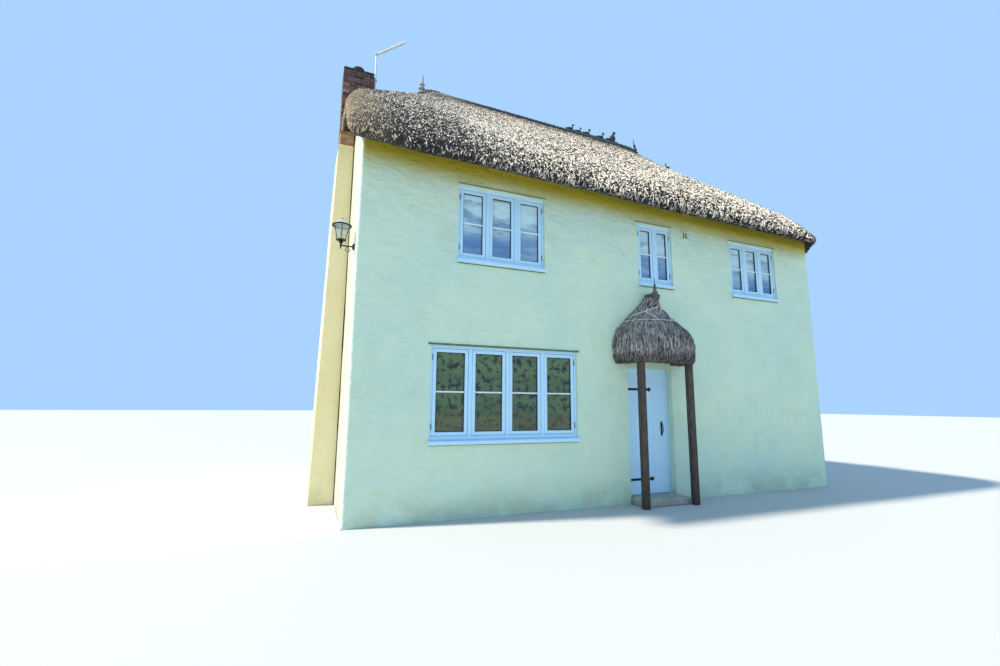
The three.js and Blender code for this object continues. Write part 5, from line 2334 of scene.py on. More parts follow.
@dataclass
class Aerial:
    """The mast, its bracket and the antenna with its rods."""

    finishes: Finishes
    heading: float = math.radians(-48.5)
    boom_height: float = 8.130
    boom_length: float = 0.69
    behind: float = 0.04
    rods: int = 15
    boom_radius: float = 0.017
    rod_radius: float = 0.0045

    def build(self) -> None:
        """Makes the aerial's pieces."""
        f = self.finishes
        low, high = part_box("aerial_mast")
        centre = Vector(((low.x + high.x) / 2, (low.y + high.y) / 2, low.z))
        radius = (high.x - low.x) / 2
        mast = Shape()
        tall = high.z - low.z
        outline = [
            (0, 0.003), (radius - 0.004, 0.0), (radius, 0.002), (radius, tall - 0.006),
            (radius * 0.8, tall - 0.001), (0, tall),
        ]
        mast.turned(outline, centre, 24)
        pieces = (
            ("aerial_mast_tube", mast.mesh("aerial_mast_tube"), "aerial_mast"),
            ("aerial_bracket_bent", softened("aerial_bracket", 0.0015), "aerial_bracket"),
            ("aerial_antenna_rods", self.antenna(centre, radius), "aerial_antenna"),
        )
        for name, mesh, node in pieces:
            place(name, mesh, f.aluminium, [node])

    def antenna(self, mast: Vector, radius: float) -> bpy.types.Mesh:
        """The boom with its clamp, rods and the rods' clips.

        Args:
            mast: The mast's middle line.
            radius: The mast's radius.

        Returns:
            The mesh.
        """
        shape = Shape()
        along = Vector((math.cos(self.heading), math.sin(self.heading), 0))
        across = Vector((-along.y, along.x, 0))
        hub = Vector((mast.x, mast.y, self.boom_height))
        for start, end in ((-self.behind, -radius - 0.001), (radius + 0.001, self.boom_length)):
            shape.tube([hub + along * start, hub + along * end], self.boom_radius, 14)
        for i in range(self.rods):
            reach = (0.116 - 0.003 * i) / 2
            at = hub + along * (0.09 + i * (self.boom_length - 0.1) / (self.rods - 1))
            shape.tube([at - across * reach, at + across * reach], self.rod_radius, 8)
            clip = Vector((0.013, 0.013, 0.019))
            shape.box(at - clip, at + clip, 0.002)
        for side in (-1, 1):
            middle = hub + across * side * (radius + 0.010)
            shape.box(middle - Vector((0.012, 0.012, 0.026)), middle + Vector((0.012, 0.012, 0.026)), 0.003)
        for level in (-0.015, 0.015):
            middle = hub + Vector((0, 0, level))
            ring = [
                middle + (radius + 0.004) * (math.cos(a) * along + math.sin(a) * across)
                for a in angles(20, True)
            ]
            shape.tube(ring, 0.0035, 8)
        return shape.mesh("aerial_antenna_rods")


# The ridge and its ornaments


@dataclass(frozen=True)
class Finial:
    """A bound straw finial with three knots and a spire, which can lean along the ridge."""

    base: Vector
    height: float
    radius: float
    lean: float = 0.0
    foot: float = 0.070
    wisp: float = 0.0
    profile: tuple[tuple[float, float], ...] = (
        (0.70, 0.0), (0.92, 0.035), (1.00, 0.060), (1.00, 0.090), (0.90, 0.120), (0.68, 0.155),
        (0.62, 0.190), (0.64, 0.230), (0.84, 0.262), (0.89, 0.285), (0.86, 0.315), (0.62, 0.350),
        (0.48, 0.385), (0.42, 0.430), (0.60, 0.465), (0.67, 0.495), (0.60, 0.530), (0.36, 0.565),
        (0.26, 0.600), (0.19, 0.700), (0.14, 0.820), (0.07, 0.940), (0.0, 1.0),
    )

    def straw(self, name: str) -> bpy.types.Mesh:
        """The turned body with its twine.

        Args:
            name: The mesh's name.

        Returns:
            The mesh.
        """
        shape = Shape()
        stops = [(0.0, -self.foot), (0.68 * self.radius, -self.foot)]
        stops += [(width * self.radius, level * self.height) for width, level in self.profile[:-1]]
        stops.append((0.0, self.height + self.wisp))
        shape.turned(stops, (0, 0, 0), 28)
        for width, level in ((0.70, 0.150), (0.49, 0.385), (0.33, 0.575)):
            shape.hoop((0, 0, level * self.height), width * self.radius, 0.0035)
        return self._leaning(shape).mesh(name)

    def bands(self, name: str) -> bpy.types.Mesh:
        """Pale withies round the knots.

        Args:
            name: The mesh's name.

        Returns:
            The mesh.
        """
        shape = Shape()
        for width, level in ((1.0, 0.075), (0.89, 0.288), (0.67, 0.495)):
            shape.hoop((0, 0, level * self.height), width * self.radius, 0.008)
        return self._leaning(shape).mesh(name)

    def _leaning(self, shape: Shape) -> Shape:
        """The shape tilted and moved to its base.

        Args:
            shape: The upright shape.

        Returns:
            The same shape.
        """
        turn = Matrix.Rotation(self.lean, 3, "Y")
        shape.points = [turn @ p + self.base for p in shape.points]
        return shape


@dataclass
class Ridge:
    """The straw roll along the ridge, its bindings and apron, the finials and the straw birds."""

    form: RoofForm
    finishes: Finishes
    pattern: Pattern
    radius: float = 0.085
    rise: float = -0.018
    start: float = 1.27
    end: float = 6.735
    binding_pitch: float = 0.055
    ducks: tuple[tuple[float, float], ...] = ((4.79, 1.05), (5.01, 0.90), (5.24, 1.05), (5.62, 1.10))
    cockerel: tuple[float, float] = (5.97, 1.34)
    hip_bird: tuple[float, float, float] = (6.60, 1.60, 0.65)
    voxel: float = 0.0065
    pale_until: float = 2.75
    dark_from: float = 2.80
    bare_end: float = 0.08
    left_finial: float = 1.305
    right_finial: float = 6.665
    finial_sunk: float = 0.066

    def axis(self, x: float) -> Vector:
        """The roll's middle line over the house's x, in the row frame.

        Args:
            x: The house's x.

        Returns:
            The point.
        """
        z = float(self.form.top(np.array(x), np.array(self.form.middle))) + self.rise
        sweep = max(0.0, 1.0 - (max(x, self.start + 0.14) - self.start) / 0.60)
        return Vector((x - self.form.length / 2, 0.0, z + 0.170 * sweep * sweep))

    def build(self) -> None:
        """Makes the ridge's pieces."""
        f = self.finishes
        place("ridge_roll", self.roll(), f.straw, ["thatch_ridge"])
        first, last = self.start + self.bare_end, self.end - self.bare_end
        pale = self.bindings("ridge_bindings", first, self.pale_until, self.binding_pitch, f.ligger)
        place("ridge_bindings", pale, f.ligger)
        dark = self.bindings("ridge_dark_bindings", self.dark_from, last, 2 * self.binding_pitch, f.straw)
        place("ridge_dark_bindings", dark, f.straw)
        place("ridge_apron", self.apron(), f.ridge_straw)
        top = Vector((0, 0, self.radius))
        sunk = Vector((0, 0, self.finial_sunk))
        left = Finial(self.axis(self.left_finial) + top - sunk, 0.478, 0.070, math.radians(4), wisp=0.055)
        right = Finial(self.axis(self.right_finial) + top, 0.430, 0.050, math.radians(-12))
        straw = left.straw("left_finial_straw")
        place("left_finial_straw", straw, f.pale_straw, ["left_ridge_finial"])
        place("left_finial_bands", left.bands("left_finial_bands"), f.ligger)
        straw = right.straw("right_finial_straw")
        place("right_finial_straw", straw, f.straw, ["right_ridge_finial"])
        place("straw_duck_row", self.flock(), f.straw, ["straw_ducks"])
        x, y, size = self.hip_bird
        z = float(self.form.top(np.array(x), np.array(y)))
        spot = Vector((x - self.form.length / 2, y - self.form.middle, z))
        work = bmesh.new()
        self._duck(work, spot, size, -1)
        place("hip_bird_straw", self._fused(work, "hip_bird_straw"), f.straw, ["hip_bird"])

    def roll(self) -> bpy.types.Mesh:
        """A bundle of straw, slightly uneven along its length, with rounded ends.

        Returns:
            The mesh.
        """
        shape = Shape()
        steps, sides = 150, 26
        rings = []
        for i in range(steps + 1):
            x = self.start + (self.end - self.start) * i / steps
            middle = self.axis(x)
            from_end = min(i, steps - i) / steps * (self.end - self.start)
            taper = math.sqrt(max(0.0, 1 - max(0.0, 1 - from_end / 0.07) ** 2))
            ring = []
            for angle in angles(sides):
                out = Vector((0, math.cos(angle), math.sin(angle)))
                r = (self.radius - 0.003) * max(taper, 0.05)
                r += 0.004 * ripple(middle + out * 0.2, 6.0, 2.0) + 0.002 * ripple(middle + out, 24.0, 5.0)
                ring.append(middle + out * r)
            rings.append(ring)
        shape.joined(rings)
        return shape.mesh("ridge_roll", sharp=60)

    def bindings(
        self, name: str, start: float, end: float, pitch: float, finish: bpy.types.Material,
    ) -> bpy.types.Mesh:
        """Twisted bands round the roll, over a span of the house's x.

        Args:
            name: The mesh's name.
            start: Where the span starts.
            end: Where it ends.
            pitch: How far apart they are.
            finish: Their material.

        Returns:
            The mesh.
        """
        band = Shape()
        band.hoop((0, 0, 0), self.radius + 0.001, 0.0065, 6, 28, "X")
        draw = random.Random(5)
        spots = []
        for i in range(int((end - start) / pitch)):
            x = start + pitch * i
            spots.append(Spot(
                self.axis(x), (0, draw.uniform(-0.05, 0.05), draw.uniform(-0.07, 0.07)),
                (1, 1, 1), draw.random(),
            ))
        return self.pattern.mesh(name, band.mesh("band"), spots, finish)

    def apron(self) -> bpy.types.Mesh:
        """A trimmed skirt of straw that lies on both slopes along the roll.

        Returns:
            The mesh.
        """
        shape = Shape()
        section = (
            (0.030, -0.020), (0.040, 0.050), (0.090, 0.046), (0.138, 0.040), (0.148, 0.030), (0.150, -0.012),
        )
        steps = 140
        for side in (-1, 1):
            rings = []
            for i in range(steps + 1):
                x = self.start + 0.10 + (self.end - self.start - 0.24) * i / steps
                ring = []
                for out, lift in section:
                    ragged = out + (0.008 * ripple(Vector((x, side, out)), 9.0, 4.0) if out > 0.08 else 0.0)
                    y = self.form.middle + side * ragged
                    z = float(self.form.top(np.array(x), np.array(y))) + lift
                    ring.append((x - self.form.length / 2, side * ragged, z))
                rings.append(ring)
            shape.joined(rings, smooth=False)
        return shape.mesh("ridge_apron", sharp=40)

    def flock(self) -> bpy.types.Mesh:
        """The row of straw ducks and the cockerel, on their own bundle.

        Returns:
            The mesh.
        """
        work = bmesh.new()
        top = Vector((0, 0, self.radius))
        for x, size in self.ducks:
            self._duck(work, self.axis(x) + top, size, 1)
        x, size = self.cockerel
        self._cockerel(work, self.axis(x) + top, size)
        rail = top + Vector((0, 0, 0.008))
        self._limb(work, self.axis(self.ducks[0][0] - 0.11) + rail, self.axis(x + 0.13) + rail, 0.030, 0.030)
        return self._fused(work, "straw_duck_row")

    def _fused(self, work: bmesh.types.BMesh, name: str) -> bpy.types.Mesh:
        """Rounded forms fused into one smooth skin. The bmesh is freed."""
        mesh = modified(freed(work, name), "REMESH", {"mode": "VOXEL", "voxel_size": self.voxel})
        return smoothed(modified(mesh, "SMOOTH", {"factor": 0.5, "iterations": 3}))

    def _duck(self, work: bmesh.types.BMesh, foot: Vector, size: float, way: int) -> None:
        """A duck that sits low: body, wings, peg, tail, neck, head and bill. It looks along +X or -X.

        Args:
            work: The bmesh to add to.
            foot: Where it stands.
            size: Its scale.
            way: 1 to look along +X, and -1 along -X.
        """
        def at(x: float, z: float, y: float = 0.0) -> Vector:
            """A place on the duck, measured from its foot."""
            return foot + Vector((x * way, y, z)) * size
        self._ball(work, at(0, 0.030), (0.085 * size, 0.042 * size, 0.042 * size), 0.0)
        for side in (-1, 1):
            self._ball(work, at(-0.012, 0.036, side * 0.028), (0.060 * size, 0.016 * size, 0.028 * size), 0.0)
        self._limb(work, at(0, -0.060), at(0, 0.020), 0.030 * size, 0.026 * size)
        self._limb(work, at(-0.050, 0.034), at(-0.108, 0.056), 0.026 * size, 0.009 * size)
        self._limb(work, at(0.050, 0.036), at(0.075, 0.135), 0.024 * size, 0.015 * size)
        self._ball(work, at(0.080, 0.146), (0.027 * size, 0.020 * size, 0.024 * size), 0.0)
        self._limb(work, at(0.095, 0.146), at(0.128, 0.140), 0.011 * size, 0.005 * size)

    def _cockerel(self, work: bmesh.types.BMesh, foot: Vector, size: float) -> None:
        """An upright bird that looks along +X: body, peg, tail, neck, head and bill.

        Args:
            work: The bmesh to add to.
            foot: Where it stands.
            size: Its scale.
        """
        def at(x: float, z: float) -> Vector:
            """A place on the bird, measured from its foot."""
            return foot + Vector((x, 0, z)) * size
        self._ball(work, at(0, 0.066), (0.061 * size, 0.044 * size, 0.078 * size), 0.2)
        self._limb(work, at(0, -0.060), at(0, 0.040), 0.034 * size, 0.034 * size)
        self._limb(work, at(-0.020, 0.040), at(-0.128, 0.052), 0.030 * size, 0.010 * size)
        self._limb(work, at(0.012, 0.120), at(0.034, 0.190), 0.034 * size, 0.017 * size)
        self._ball(work, at(0.038, 0.193), (0.028 * size, 0.021 * size, 0.025 * size), 0.0)
        self._limb(work, at(0.055, 0.193), at(0.084, 0.186), 0.012 * size, 0.005 * size)

    @staticmethod
    def _ball(work: bmesh.types.BMesh, centre: Vector, radii: Point, pitch: float) -> None:
        """An ellipsoid."""
        matrix = Matrix.Translation(centre) @ Matrix.Rotation(pitch, 4, "Y") @ Matrix.Diagonal((*radii, 1.0))
        bmesh.ops.create_uvsphere(work, u_segments=20, v_segments=12, radius=1.0, matrix=matrix)

    @staticmethod
    def _limb(work: bmesh.types.BMesh, start: Vector, end: Vector, low: float, high: float) -> None:
        """A tapered round limb between two points.

        Args:
            work: The bmesh to add to.
            start: One end.
            end: The other end.
            low: The radius at the start.
            high: The radius at the end.
        """
        along = end - start
        turn = along.to_track_quat("Z", "Y").to_matrix().to_4x4()
        matrix = Matrix.Translation((start + end) / 2) @ turn
        bmesh.ops.create_cone(
            work, cap_ends=True, segments=14, radius1=low, radius2=high, depth=along.length, matrix=matrix,
        )


# The porch


@dataclass
class Porch:
    """The bell of thatch over the front door, with its ridge, finial, rods and posts."""

    finishes: Finishes
    tufts: ReedTufts
    pattern: Pattern
    x: float = 4.53 - HALF_LENGTH
    hood: tuple[tuple[float, float, float], ...] = (
        (0.0, 0.0, 2.700), (0.250, 0.230, 2.560), (0.420, 0.400, 2.330), (0.495, 0.480, 2.150),
        (0.565, 0.550, 2.065), (0.645, 0.630, 2.085), (0.685, 0.665, 2.170), (0.695, 0.670, 2.290),
        (0.680, 0.640, 2.420), (0.640, 0.580, 2.540), (0.560, 0.490, 2.635), (0.475, 0.400, 2.730),
        (0.375, 0.290, 2.830), (0.280, 0.252, 2.915), (0.185, 0.240, 3.000), (0.110, 0.233, 3.090),
        (0.075, 0.226, 3.150), (0.040, 0.205, 3.180), (0.0, 0.0, 3.190),
    )
    sides: int = 120
    ridge_height: float = 3.135
    ridge_radius: float = 0.052
    ridge_reach: float = 0.228
    finial_out: float = 0.200
    band_radius: float = 0.0055
    rod_radius: float = 0.0075
    tufts_per_square_metre: float = 7000.0
    tuft_length: float = 0.100
    tuft_width: float = 0.006
    rods: tuple[tuple[tuple[float, float], ...], ...] = (
        ((2.965, 97), (2.930, 113), (2.895, 130), (2.850, 149), (2.800, 168)),
        ((2.900, 131), (2.850, 122), (2.740, 104)),
        ((2.965, 83), (2.930, 67), (2.895, 50), (2.850, 31), (2.800, 12)),
        ((2.900, 49), (2.850, 58), (2.740, 76)),
    )

    def build(self) -> None:
        """Makes the porch's pieces."""
        f = self.finishes
        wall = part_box("front_wall")[0].y
        rings, downs = self.rings(wall)
        place("porch_hood", self.bell(rings), f.porch_reed, ["porch_thatch"])
        skin = self.skin(rings, downs)
        reed = self.tufts.mesh(
            "porch_hood_reed", skin, f.porch_reed,
            Tufts_per_square_metre=self.tufts_per_square_metre, Tuft_length=self.tuft_length,
            Tuft_width=self.tuft_width, Wander=0.18, Lift=0.10, Seed=41,
        )
        place("porch_hood_reed", reed, f.porch_reed)
        place("porch_ridge_block", self.ridge(wall), f.grey_straw, ["porch_ridge"])
        base = Vector((self.x, wall - self.finial_out, self.ridge_height + self.ridge_radius))
        straw = Finial(base, 0.268, 0.034, foot=0.026).straw("porch_finial_straw")
        place("porch_finial_straw", straw, f.grey_straw, ["porch_finial"])
        place("porch_ridge_brush", self.brush(wall), f.grey_straw)
        place("porch_liggers", self.liggers(wall), f.rod)
        timbers = softened("porch_timbers", 0.008)
        place("porch_timbers_eased", timbers, f.timber, ["porch_timbers"])
        place("porch_pegs", self.pegs(), f.timber)

    def rings(self, wall: float) -> tuple[np.ndarray, np.ndarray]:
        """The hood's outline as half rings against the wall, from its crown down to the hollow's top.

        Args:
            wall: The front wall's y.

        Returns:
            The rings' points, and each ring's way down.
        """
        stops = self.hood[::-1]
        fine = []
        for (a, b) in zip(stops, stops[1:]):
            for k in range(4):
                fine.append(tuple(p + (q - p) * k / 4 for p, q in zip(a, b)))
        fine.append(stops[-1])
        fine = self._eased(fine)
        rows, downs = [], []
        widths = [row[0] for row in fine]
        outer = widths.index(max(widths))
        for i, (width, reach, height) in enumerate(fine):
            ring = []
            for k in range(self.sides + 1):
                angle = math.pi * k / self.sides
                x, y = width * math.cos(angle), -reach * math.sin(angle)
                point = Vector((self.x + x, wall + y, height))
                out = Vector((math.cos(angle), -math.sin(angle), 0)) if width else Vector((0, 0, 1))
                lump = 0.006 * ripple(point, 5.0, 6.0) + 0.003 * ripple(point, 16.0, 8.0)
                point += out * (lump - 0.004 if 0 < width else 0.0)
                point.y = min(point.y, wall - 0.0005)
                ring.append(point)
            rows.append(ring)
            downs.append(i / outer if i <= outer else 1.0 + (i - outer) / (len(fine) - outer))
        return np.array([[tuple(p) for p in ring] for ring in rows]), np.array(downs)

    @staticmethod
    def _eased(points: list[tuple[float, ...]]) -> list[tuple[float, ...]]:
        """The outline with its corners rounded by a few passes of averaging.

        Args:
            points: The outline.

        Returns:
            The rounded outline.
        """
        for _ in range(3):
            inner = [
                tuple((a + 2 * b + c) / 4 for a, b, c in zip(before, here, after))
                for before, here, after in zip(points, points[1:], points[2:])
            ]
            points = [points[0], *inner, points[-1]]
        return points

    @staticmethod
    def bell(rings: np.ndarray) -> bpy.types.Mesh:
        """The hood as a closed shell, flat against the wall.

        Args:
            rings: The hood's rings.

        Returns:
            The mesh.
        """
        rows, columns = rings.shape[:2]
        shape = Shape()
        faces = quads(range(rows - 1), range(columns - 1), columns, turned=True)
        left = [i * columns for i in range(rows)]
        right = [i * columns + columns - 1 for i in range(rows)]
        outer = int(np.argmax(rings[:, 0, 0]))
        count = rows - 1
        for i in range(outer):
            j = round(count - (count - outer) * i / max(outer, 1))
            n = round(count - (count - outer) * (i + 1) / max(outer, 1))
            for edge in (left, right):
                corners = [edge[i], edge[i + 1], edge[n], edge[j]]
                corners = [c for q, c in enumerate(corners) if c not in corners[:q]]
                if len(corners) > 2:
                    faces.append(corners)
        shape.add(rings.reshape(-1, 3).tolist(), faces, smooth=True)
        return shape.mesh("porch_hood", sharp=50)

    @staticmethod
    def skin(rings: np.ndarray, downs: np.ndarray) -> bpy.types.Mesh:
        """The hood's outer face, which carries the tufts.

        Args:
            rings: The hood's rings.
            downs: Each ring's way down.

        Returns:
            The mesh.
        """
        rows = int(np.searchsorted(downs, 1.40))
        used = rings[:rows]
        columns = used.shape[1]
        faces = quads(range(rows - 1), range(columns - 1), columns, turned=True)
        mesh = bpy.data.meshes.new("porch_skin")
        mesh.from_pydata(used.reshape(-1, 3).tolist(), [], faces)
        give(mesh, "down", np.repeat(downs[:rows], columns))
        give(mesh, "fall", unit(np.gradient(used, axis=0)).ravel(), vectors=True)
        give(mesh, "keep", np.ones(rows * columns))
        return mesh

    def ridge(self, wall: float) -> bpy.types.Mesh:
        """The block of straw over the hood's crown, with its bindings.

        Args:
            wall: The front wall's y.

        Returns:
            The mesh.
        """
        shape = Shape()
        r = self.ridge_radius
        reach = self.ridge_reach
        outline = [
            (0, 0.0), (r * 0.92, 0.001), (r, 0.012), (r, reach - 0.014), (r * 0.9, reach - 0.002), (0, reach),
        ]
        shape.turned(outline, (self.x, wall - reach, self.ridge_height), 28, "Y")
        for k in range(5):
            shape.hoop((self.x, wall - 0.03 - 0.05 * k, self.ridge_height), r, 0.005, 6, 24, "Y")
        return shape.mesh("porch_ridge_block")

    def liggers(self, wall: float) -> bpy.types.Mesh:
        """Pale split rods: two bands round the hood and slanting ones on its shoulders.

        Args:
            wall: The front wall's y.

        Returns:
            The mesh.
        """
        shape = Shape()
        for height, lift in ((2.570, 0.017), (2.735, 0.018)):
            path = [self._on_hood(wall, height, math.pi * k / 40, lift) for k in range(1, 40)]
            shape.tube(path, self.band_radius, 6)
        for rod in self.rods:
            path = [self._on_hood(wall, height, math.radians(angle), 0.024) for height, angle in rod]
            shape.tube(path, self.rod_radius, 6)
        return shape.mesh("porch_liggers")

    def brush(self, wall: float) -> bpy.types.Mesh:
        """Stubby straw ends over the ridge block, its front and the finial's foot.

        Args:
            wall: The front wall's y.

        Returns:
            The mesh.
        """
        stem = Shape()
        stem.turned([(0, 0.0), (0.5, 0.0), (0.30, 1.0), (0, 1.0)], (0, 0, 0), 5)
        draw = random.Random(12)
        spots = []
        for _ in range(420):
            angle = math.radians(draw.uniform(-25, 205))
            out = Vector((math.cos(angle), 0, math.sin(angle))) * (self.ridge_radius + 0.001)
            y = wall - draw.uniform(0.010, self.ridge_reach)
            at = Vector((self.x, y, self.ridge_height - 0.030)) + out
            turn = (draw.uniform(-0.25, 0.25), 0.30 * math.cos(angle) + draw.uniform(-0.15, 0.15), 0.0)
            spots.append(Spot(at, turn, (0.009, 0.009, draw.uniform(0.035, 0.062)), draw.random()))
        for _ in range(70):
            across = draw.uniform(-0.9, 0.9) * self.ridge_radius
            z = self.ridge_height - draw.uniform(0.03, 0.06)
            at = Vector((self.x + across, wall - self.ridge_reach - 0.004, z))
            turn = (draw.uniform(-0.1, 0.2), across * 2, 0.0)
            spots.append(Spot(at, turn, (0.009, 0.009, 0.075), draw.random()))
        for angle in angles(26):
            y = wall - self.finial_out + 0.036 * math.sin(angle)
            at = Vector((self.x + 0.036 * math.cos(angle), y, 3.130))
            size = (0.012, 0.012, draw.uniform(0.085, 0.110))
            spots.append(Spot(at, (0.0, 0.0, angle), size, draw.random()))
        return self.pattern.mesh("porch_ridge_brush", stem.mesh("stem"), spots, self.finishes.grey_straw)

    def _on_hood(self, wall: float, height: float, angle: float, lift: float) -> Vector:
        """A point on the hood's outer face, lifted off it.

        Args:
            wall: The front wall's y.
            height: The point's height.
            angle: Its angle round the hood.
            lift: How far it is lifted.

        Returns:
            The point.
        """
        outer = [row for row in self.hood if row[2] >= 2.290 and row[0] > 0]
        outer = sorted(outer, key=lambda row: row[2])
        heights = [row[2] for row in outer]
        width = float(np.interp(height, heights, [row[0] for row in outer])) + lift
        reach = float(np.interp(height, heights, [row[1] for row in outer])) + lift
        return Vector((self.x + width * math.cos(angle), wall - reach * math.sin(angle), height))

    @staticmethod
    def pegs() -> bpy.types.Mesh:
        """Oak pegs where the plates sit on the posts.

        Returns:
            The mesh.
        """
        low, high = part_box("porch_timbers")
        shape = Shape()
        for x in (low.x + 0.045, high.x - 0.045):
            for z in (high.z - 0.030, high.z - 0.062):
                shape.turned([(0, -0.008), (0.009, -0.006), (0.010, 0.0), (0, 0.001)], (x, low.y, z), 12, "Y")
        return shape.mesh("porch_pegs")


# Small pieces on the walls


@dataclass
class WallPieces:
    """The lantern on the gable, the vent and the windows' heads."""

    finishes: Finishes
    head_height: float = 0.014
    heads: tuple[tuple[str, float, float], ...] = (
        ("ground_window", 0.030, 0.030), ("upper_left_window", 0.008, 0.006),
        ("upper_middle_window", 0.045, 0.002), ("upper_right_window", 0.012, 0.002),
    )

    def build(self) -> None:
        """Makes the small pieces."""
        f = self.finishes
        place("wall_vent_painted", softened("wall_vent", 0.003), f.front_wash, ["wall_vent"])
        place("wall_vent_gauze", self.gauze(), f.iron)
        place("lantern_arm", self.bracket(), f.iron, ["lantern_bracket"])
        place("lantern_lens", self.lens(), f.lantern_glass, ["lantern_glass"])
        place("lantern_hood", self.cap(), f.pale_hood_metal, ["lantern_cap"])
        place("window_head_bands", self.head_bands(), f.front_wash)
        place("window_head_drips", self.head_drips(), f.drip_and_shadow)

    @staticmethod
    def gauze() -> bpy.types.Mesh:
        """Fly gauze of fine black wires just behind the vent's face, which also stands in for the shade
        inside the slots.

        Returns:
            The mesh.
        """
        low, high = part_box("wall_vent")
        margin, pitch, thick = 0.032, 0.0038, 0.0015
        y = low.y + 0.018
        shape = Shape()
        x0, x1, z0, z1 = low.x + margin, high.x - margin, low.z + margin, high.z - margin
        for i in range(int((x1 - x0) / pitch) + 1):
            x = x0 + pitch * i
            shape.box((x - thick, y - thick, z0), (x + thick, y + thick, z1), 0.0004)
        for i in range(int((z1 - z0) / pitch) + 1):
            z = z0 + pitch * i
            shape.box((x0, y + 1.2 * thick, z - thick), (x1, y + 3.2 * thick, z + thick), 0.0004)
        return shape.mesh("wall_vent_gauze")

    @staticmethod
    def _lantern() -> Vector:
        """The middle of the ball under the lantern's cage."""
        low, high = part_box("lantern_cap")
        return Vector(((low.x + high.x) / 2, (low.y + high.y) / 2, low.z - 0.2303))

    def bracket(self) -> bpy.types.Mesh:
        """The wall plate, the arm, its scroll, the stem and the cage's ribs.

        Returns:
            The mesh.
        """
        centre = self._lantern()
        arm = centre.z - 0.040
        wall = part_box("left_gable_wall")[0].x
        shape = Shape()
        shape.turned(
            [(0, -0.020), (0.032, -0.019), (0.040, -0.014), (0.045, -0.008), (0.045, 0.0), (0, 0.0)],
            (wall, centre.y, arm), 28, "X",
        )
        shape.tube([(wall - 0.015, centre.y, arm), (centre.x, centre.y, arm)], 0.009, 12)
        scroll = []
        for k in range(25):
            a = math.pi * 0.5 + 2.0 * math.pi * k / 24
            r = 0.040 - 0.0011 * k
            scroll.append((wall - 0.070 + r * math.cos(a), centre.y, arm - 0.050 + r * math.sin(a)))
        shape.tube(scroll, 0.0045, 8)
        shape.turned([
            (0, -0.088), (0.006, -0.086), (0.010, -0.079), (0.007, -0.068), (0.008, -0.060),
            (0.014, -0.051), (0.015, -0.040), (0.013, -0.029), (0.009, -0.022), (0.017, -0.016),
            (0.024, -0.009), (0.024, 0.009), (0.016, 0.016), (0.014, 0.020), (0.040, 0.025),
            (0.062, 0.028), (0.062, 0.030), (0, 0.030),
        ], centre, 32)
        for k in range(6):
            angle = math.pi * (2 * k + 1) / 6
            foot = centre + Vector((0.060 * math.cos(angle), 0.060 * math.sin(angle), 0.031))
            head = centre + Vector((0.107 * math.cos(angle), 0.107 * math.sin(angle), 0.229))
            shape.tube([foot, head], 0.0035, 8)
        for radius, level in ((0.107, 0.226), (0.124, 0.2265), (0.062, 0.034)):
            shape.hoop(centre + Vector((0, 0, level)), radius, 0.0035, 8, 32)
        return shape.mesh("lantern_arm")

    def lens(self) -> bpy.types.Mesh:
        """The tapered glass.

        Returns:
            The mesh.
        """
        shape = Shape()
        outline = [(0.053, 0.031), (0.057, 0.031), (0.103, 0.229), (0.099, 0.229), (0.053, 0.031)]
        shape.turned(outline, self._lantern(), 36)
        return shape.mesh("lantern_lens", sharp=50)

    def cap(self) -> bpy.types.Mesh:
        """The spun cap with a rolled brim, a vent ring and a knob.

        Returns:
            The mesh.
        """
        shape = Shape()
        shape.turned([
            (0, 0.2305), (0.124, 0.2305), (0.128, 0.232), (0.128, 0.236), (0.123, 0.240), (0.108, 0.251),
            (0.092, 0.262), (0.074, 0.276), (0.056, 0.290), (0.040, 0.299), (0.026, 0.309), (0.016, 0.316),
            (0.012, 0.322), (0.017, 0.328), (0.018, 0.333), (0.012, 0.341), (0.004, 0.3435), (0, 0.344),
        ], self._lantern(), 40)
        return shape.mesh("lantern_hood", sharp=50)

    def head_bands(self) -> bpy.types.Mesh:
        """A shallow rendered band over each upper window.

        Returns:
            The mesh.
        """
        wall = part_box("front_wall")[0].y
        shape = Shape()
        for stem, left, right in self.heads[1:]:
            low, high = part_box(f"{stem}_frame")
            x0, x1 = low.x - left, high.x + right
            head = high.z + self.head_height
            shape.box((x0, wall - 0.005, high.z + 0.001), (x1, wall + 0.012, head), 0.002)
        return shape.mesh("window_head_bands")

    def head_drips(self) -> bpy.types.Mesh:
        """A slim weathered drip edge over each front window, its dark colour partly painted shadow at the
        head, and a thin dark strip under each sill that is a painted shadow under its nose.

        Returns:
            The mesh.
        """
        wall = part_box("front_wall")[0].y
        shape = Shape()
        for stem, left, right in self.heads:
            low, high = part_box(f"{stem}_frame")
            foot = high.z + (self.head_height if stem != "ground_window" else -0.010)
            tall = 0.010 if stem != "ground_window" else 0.022
            shape.box((low.x - left, wall - 0.012, foot), (high.x + right, wall + 0.012, foot + tall), 0.002)
            corner = (high.x - 0.01, wall + 0.012, low.z - 0.0008)
            shape.box((low.x + 0.01, wall - 0.014, low.z - 0.010), corner, 0.002)
        return shape.mesh("window_head_drips")


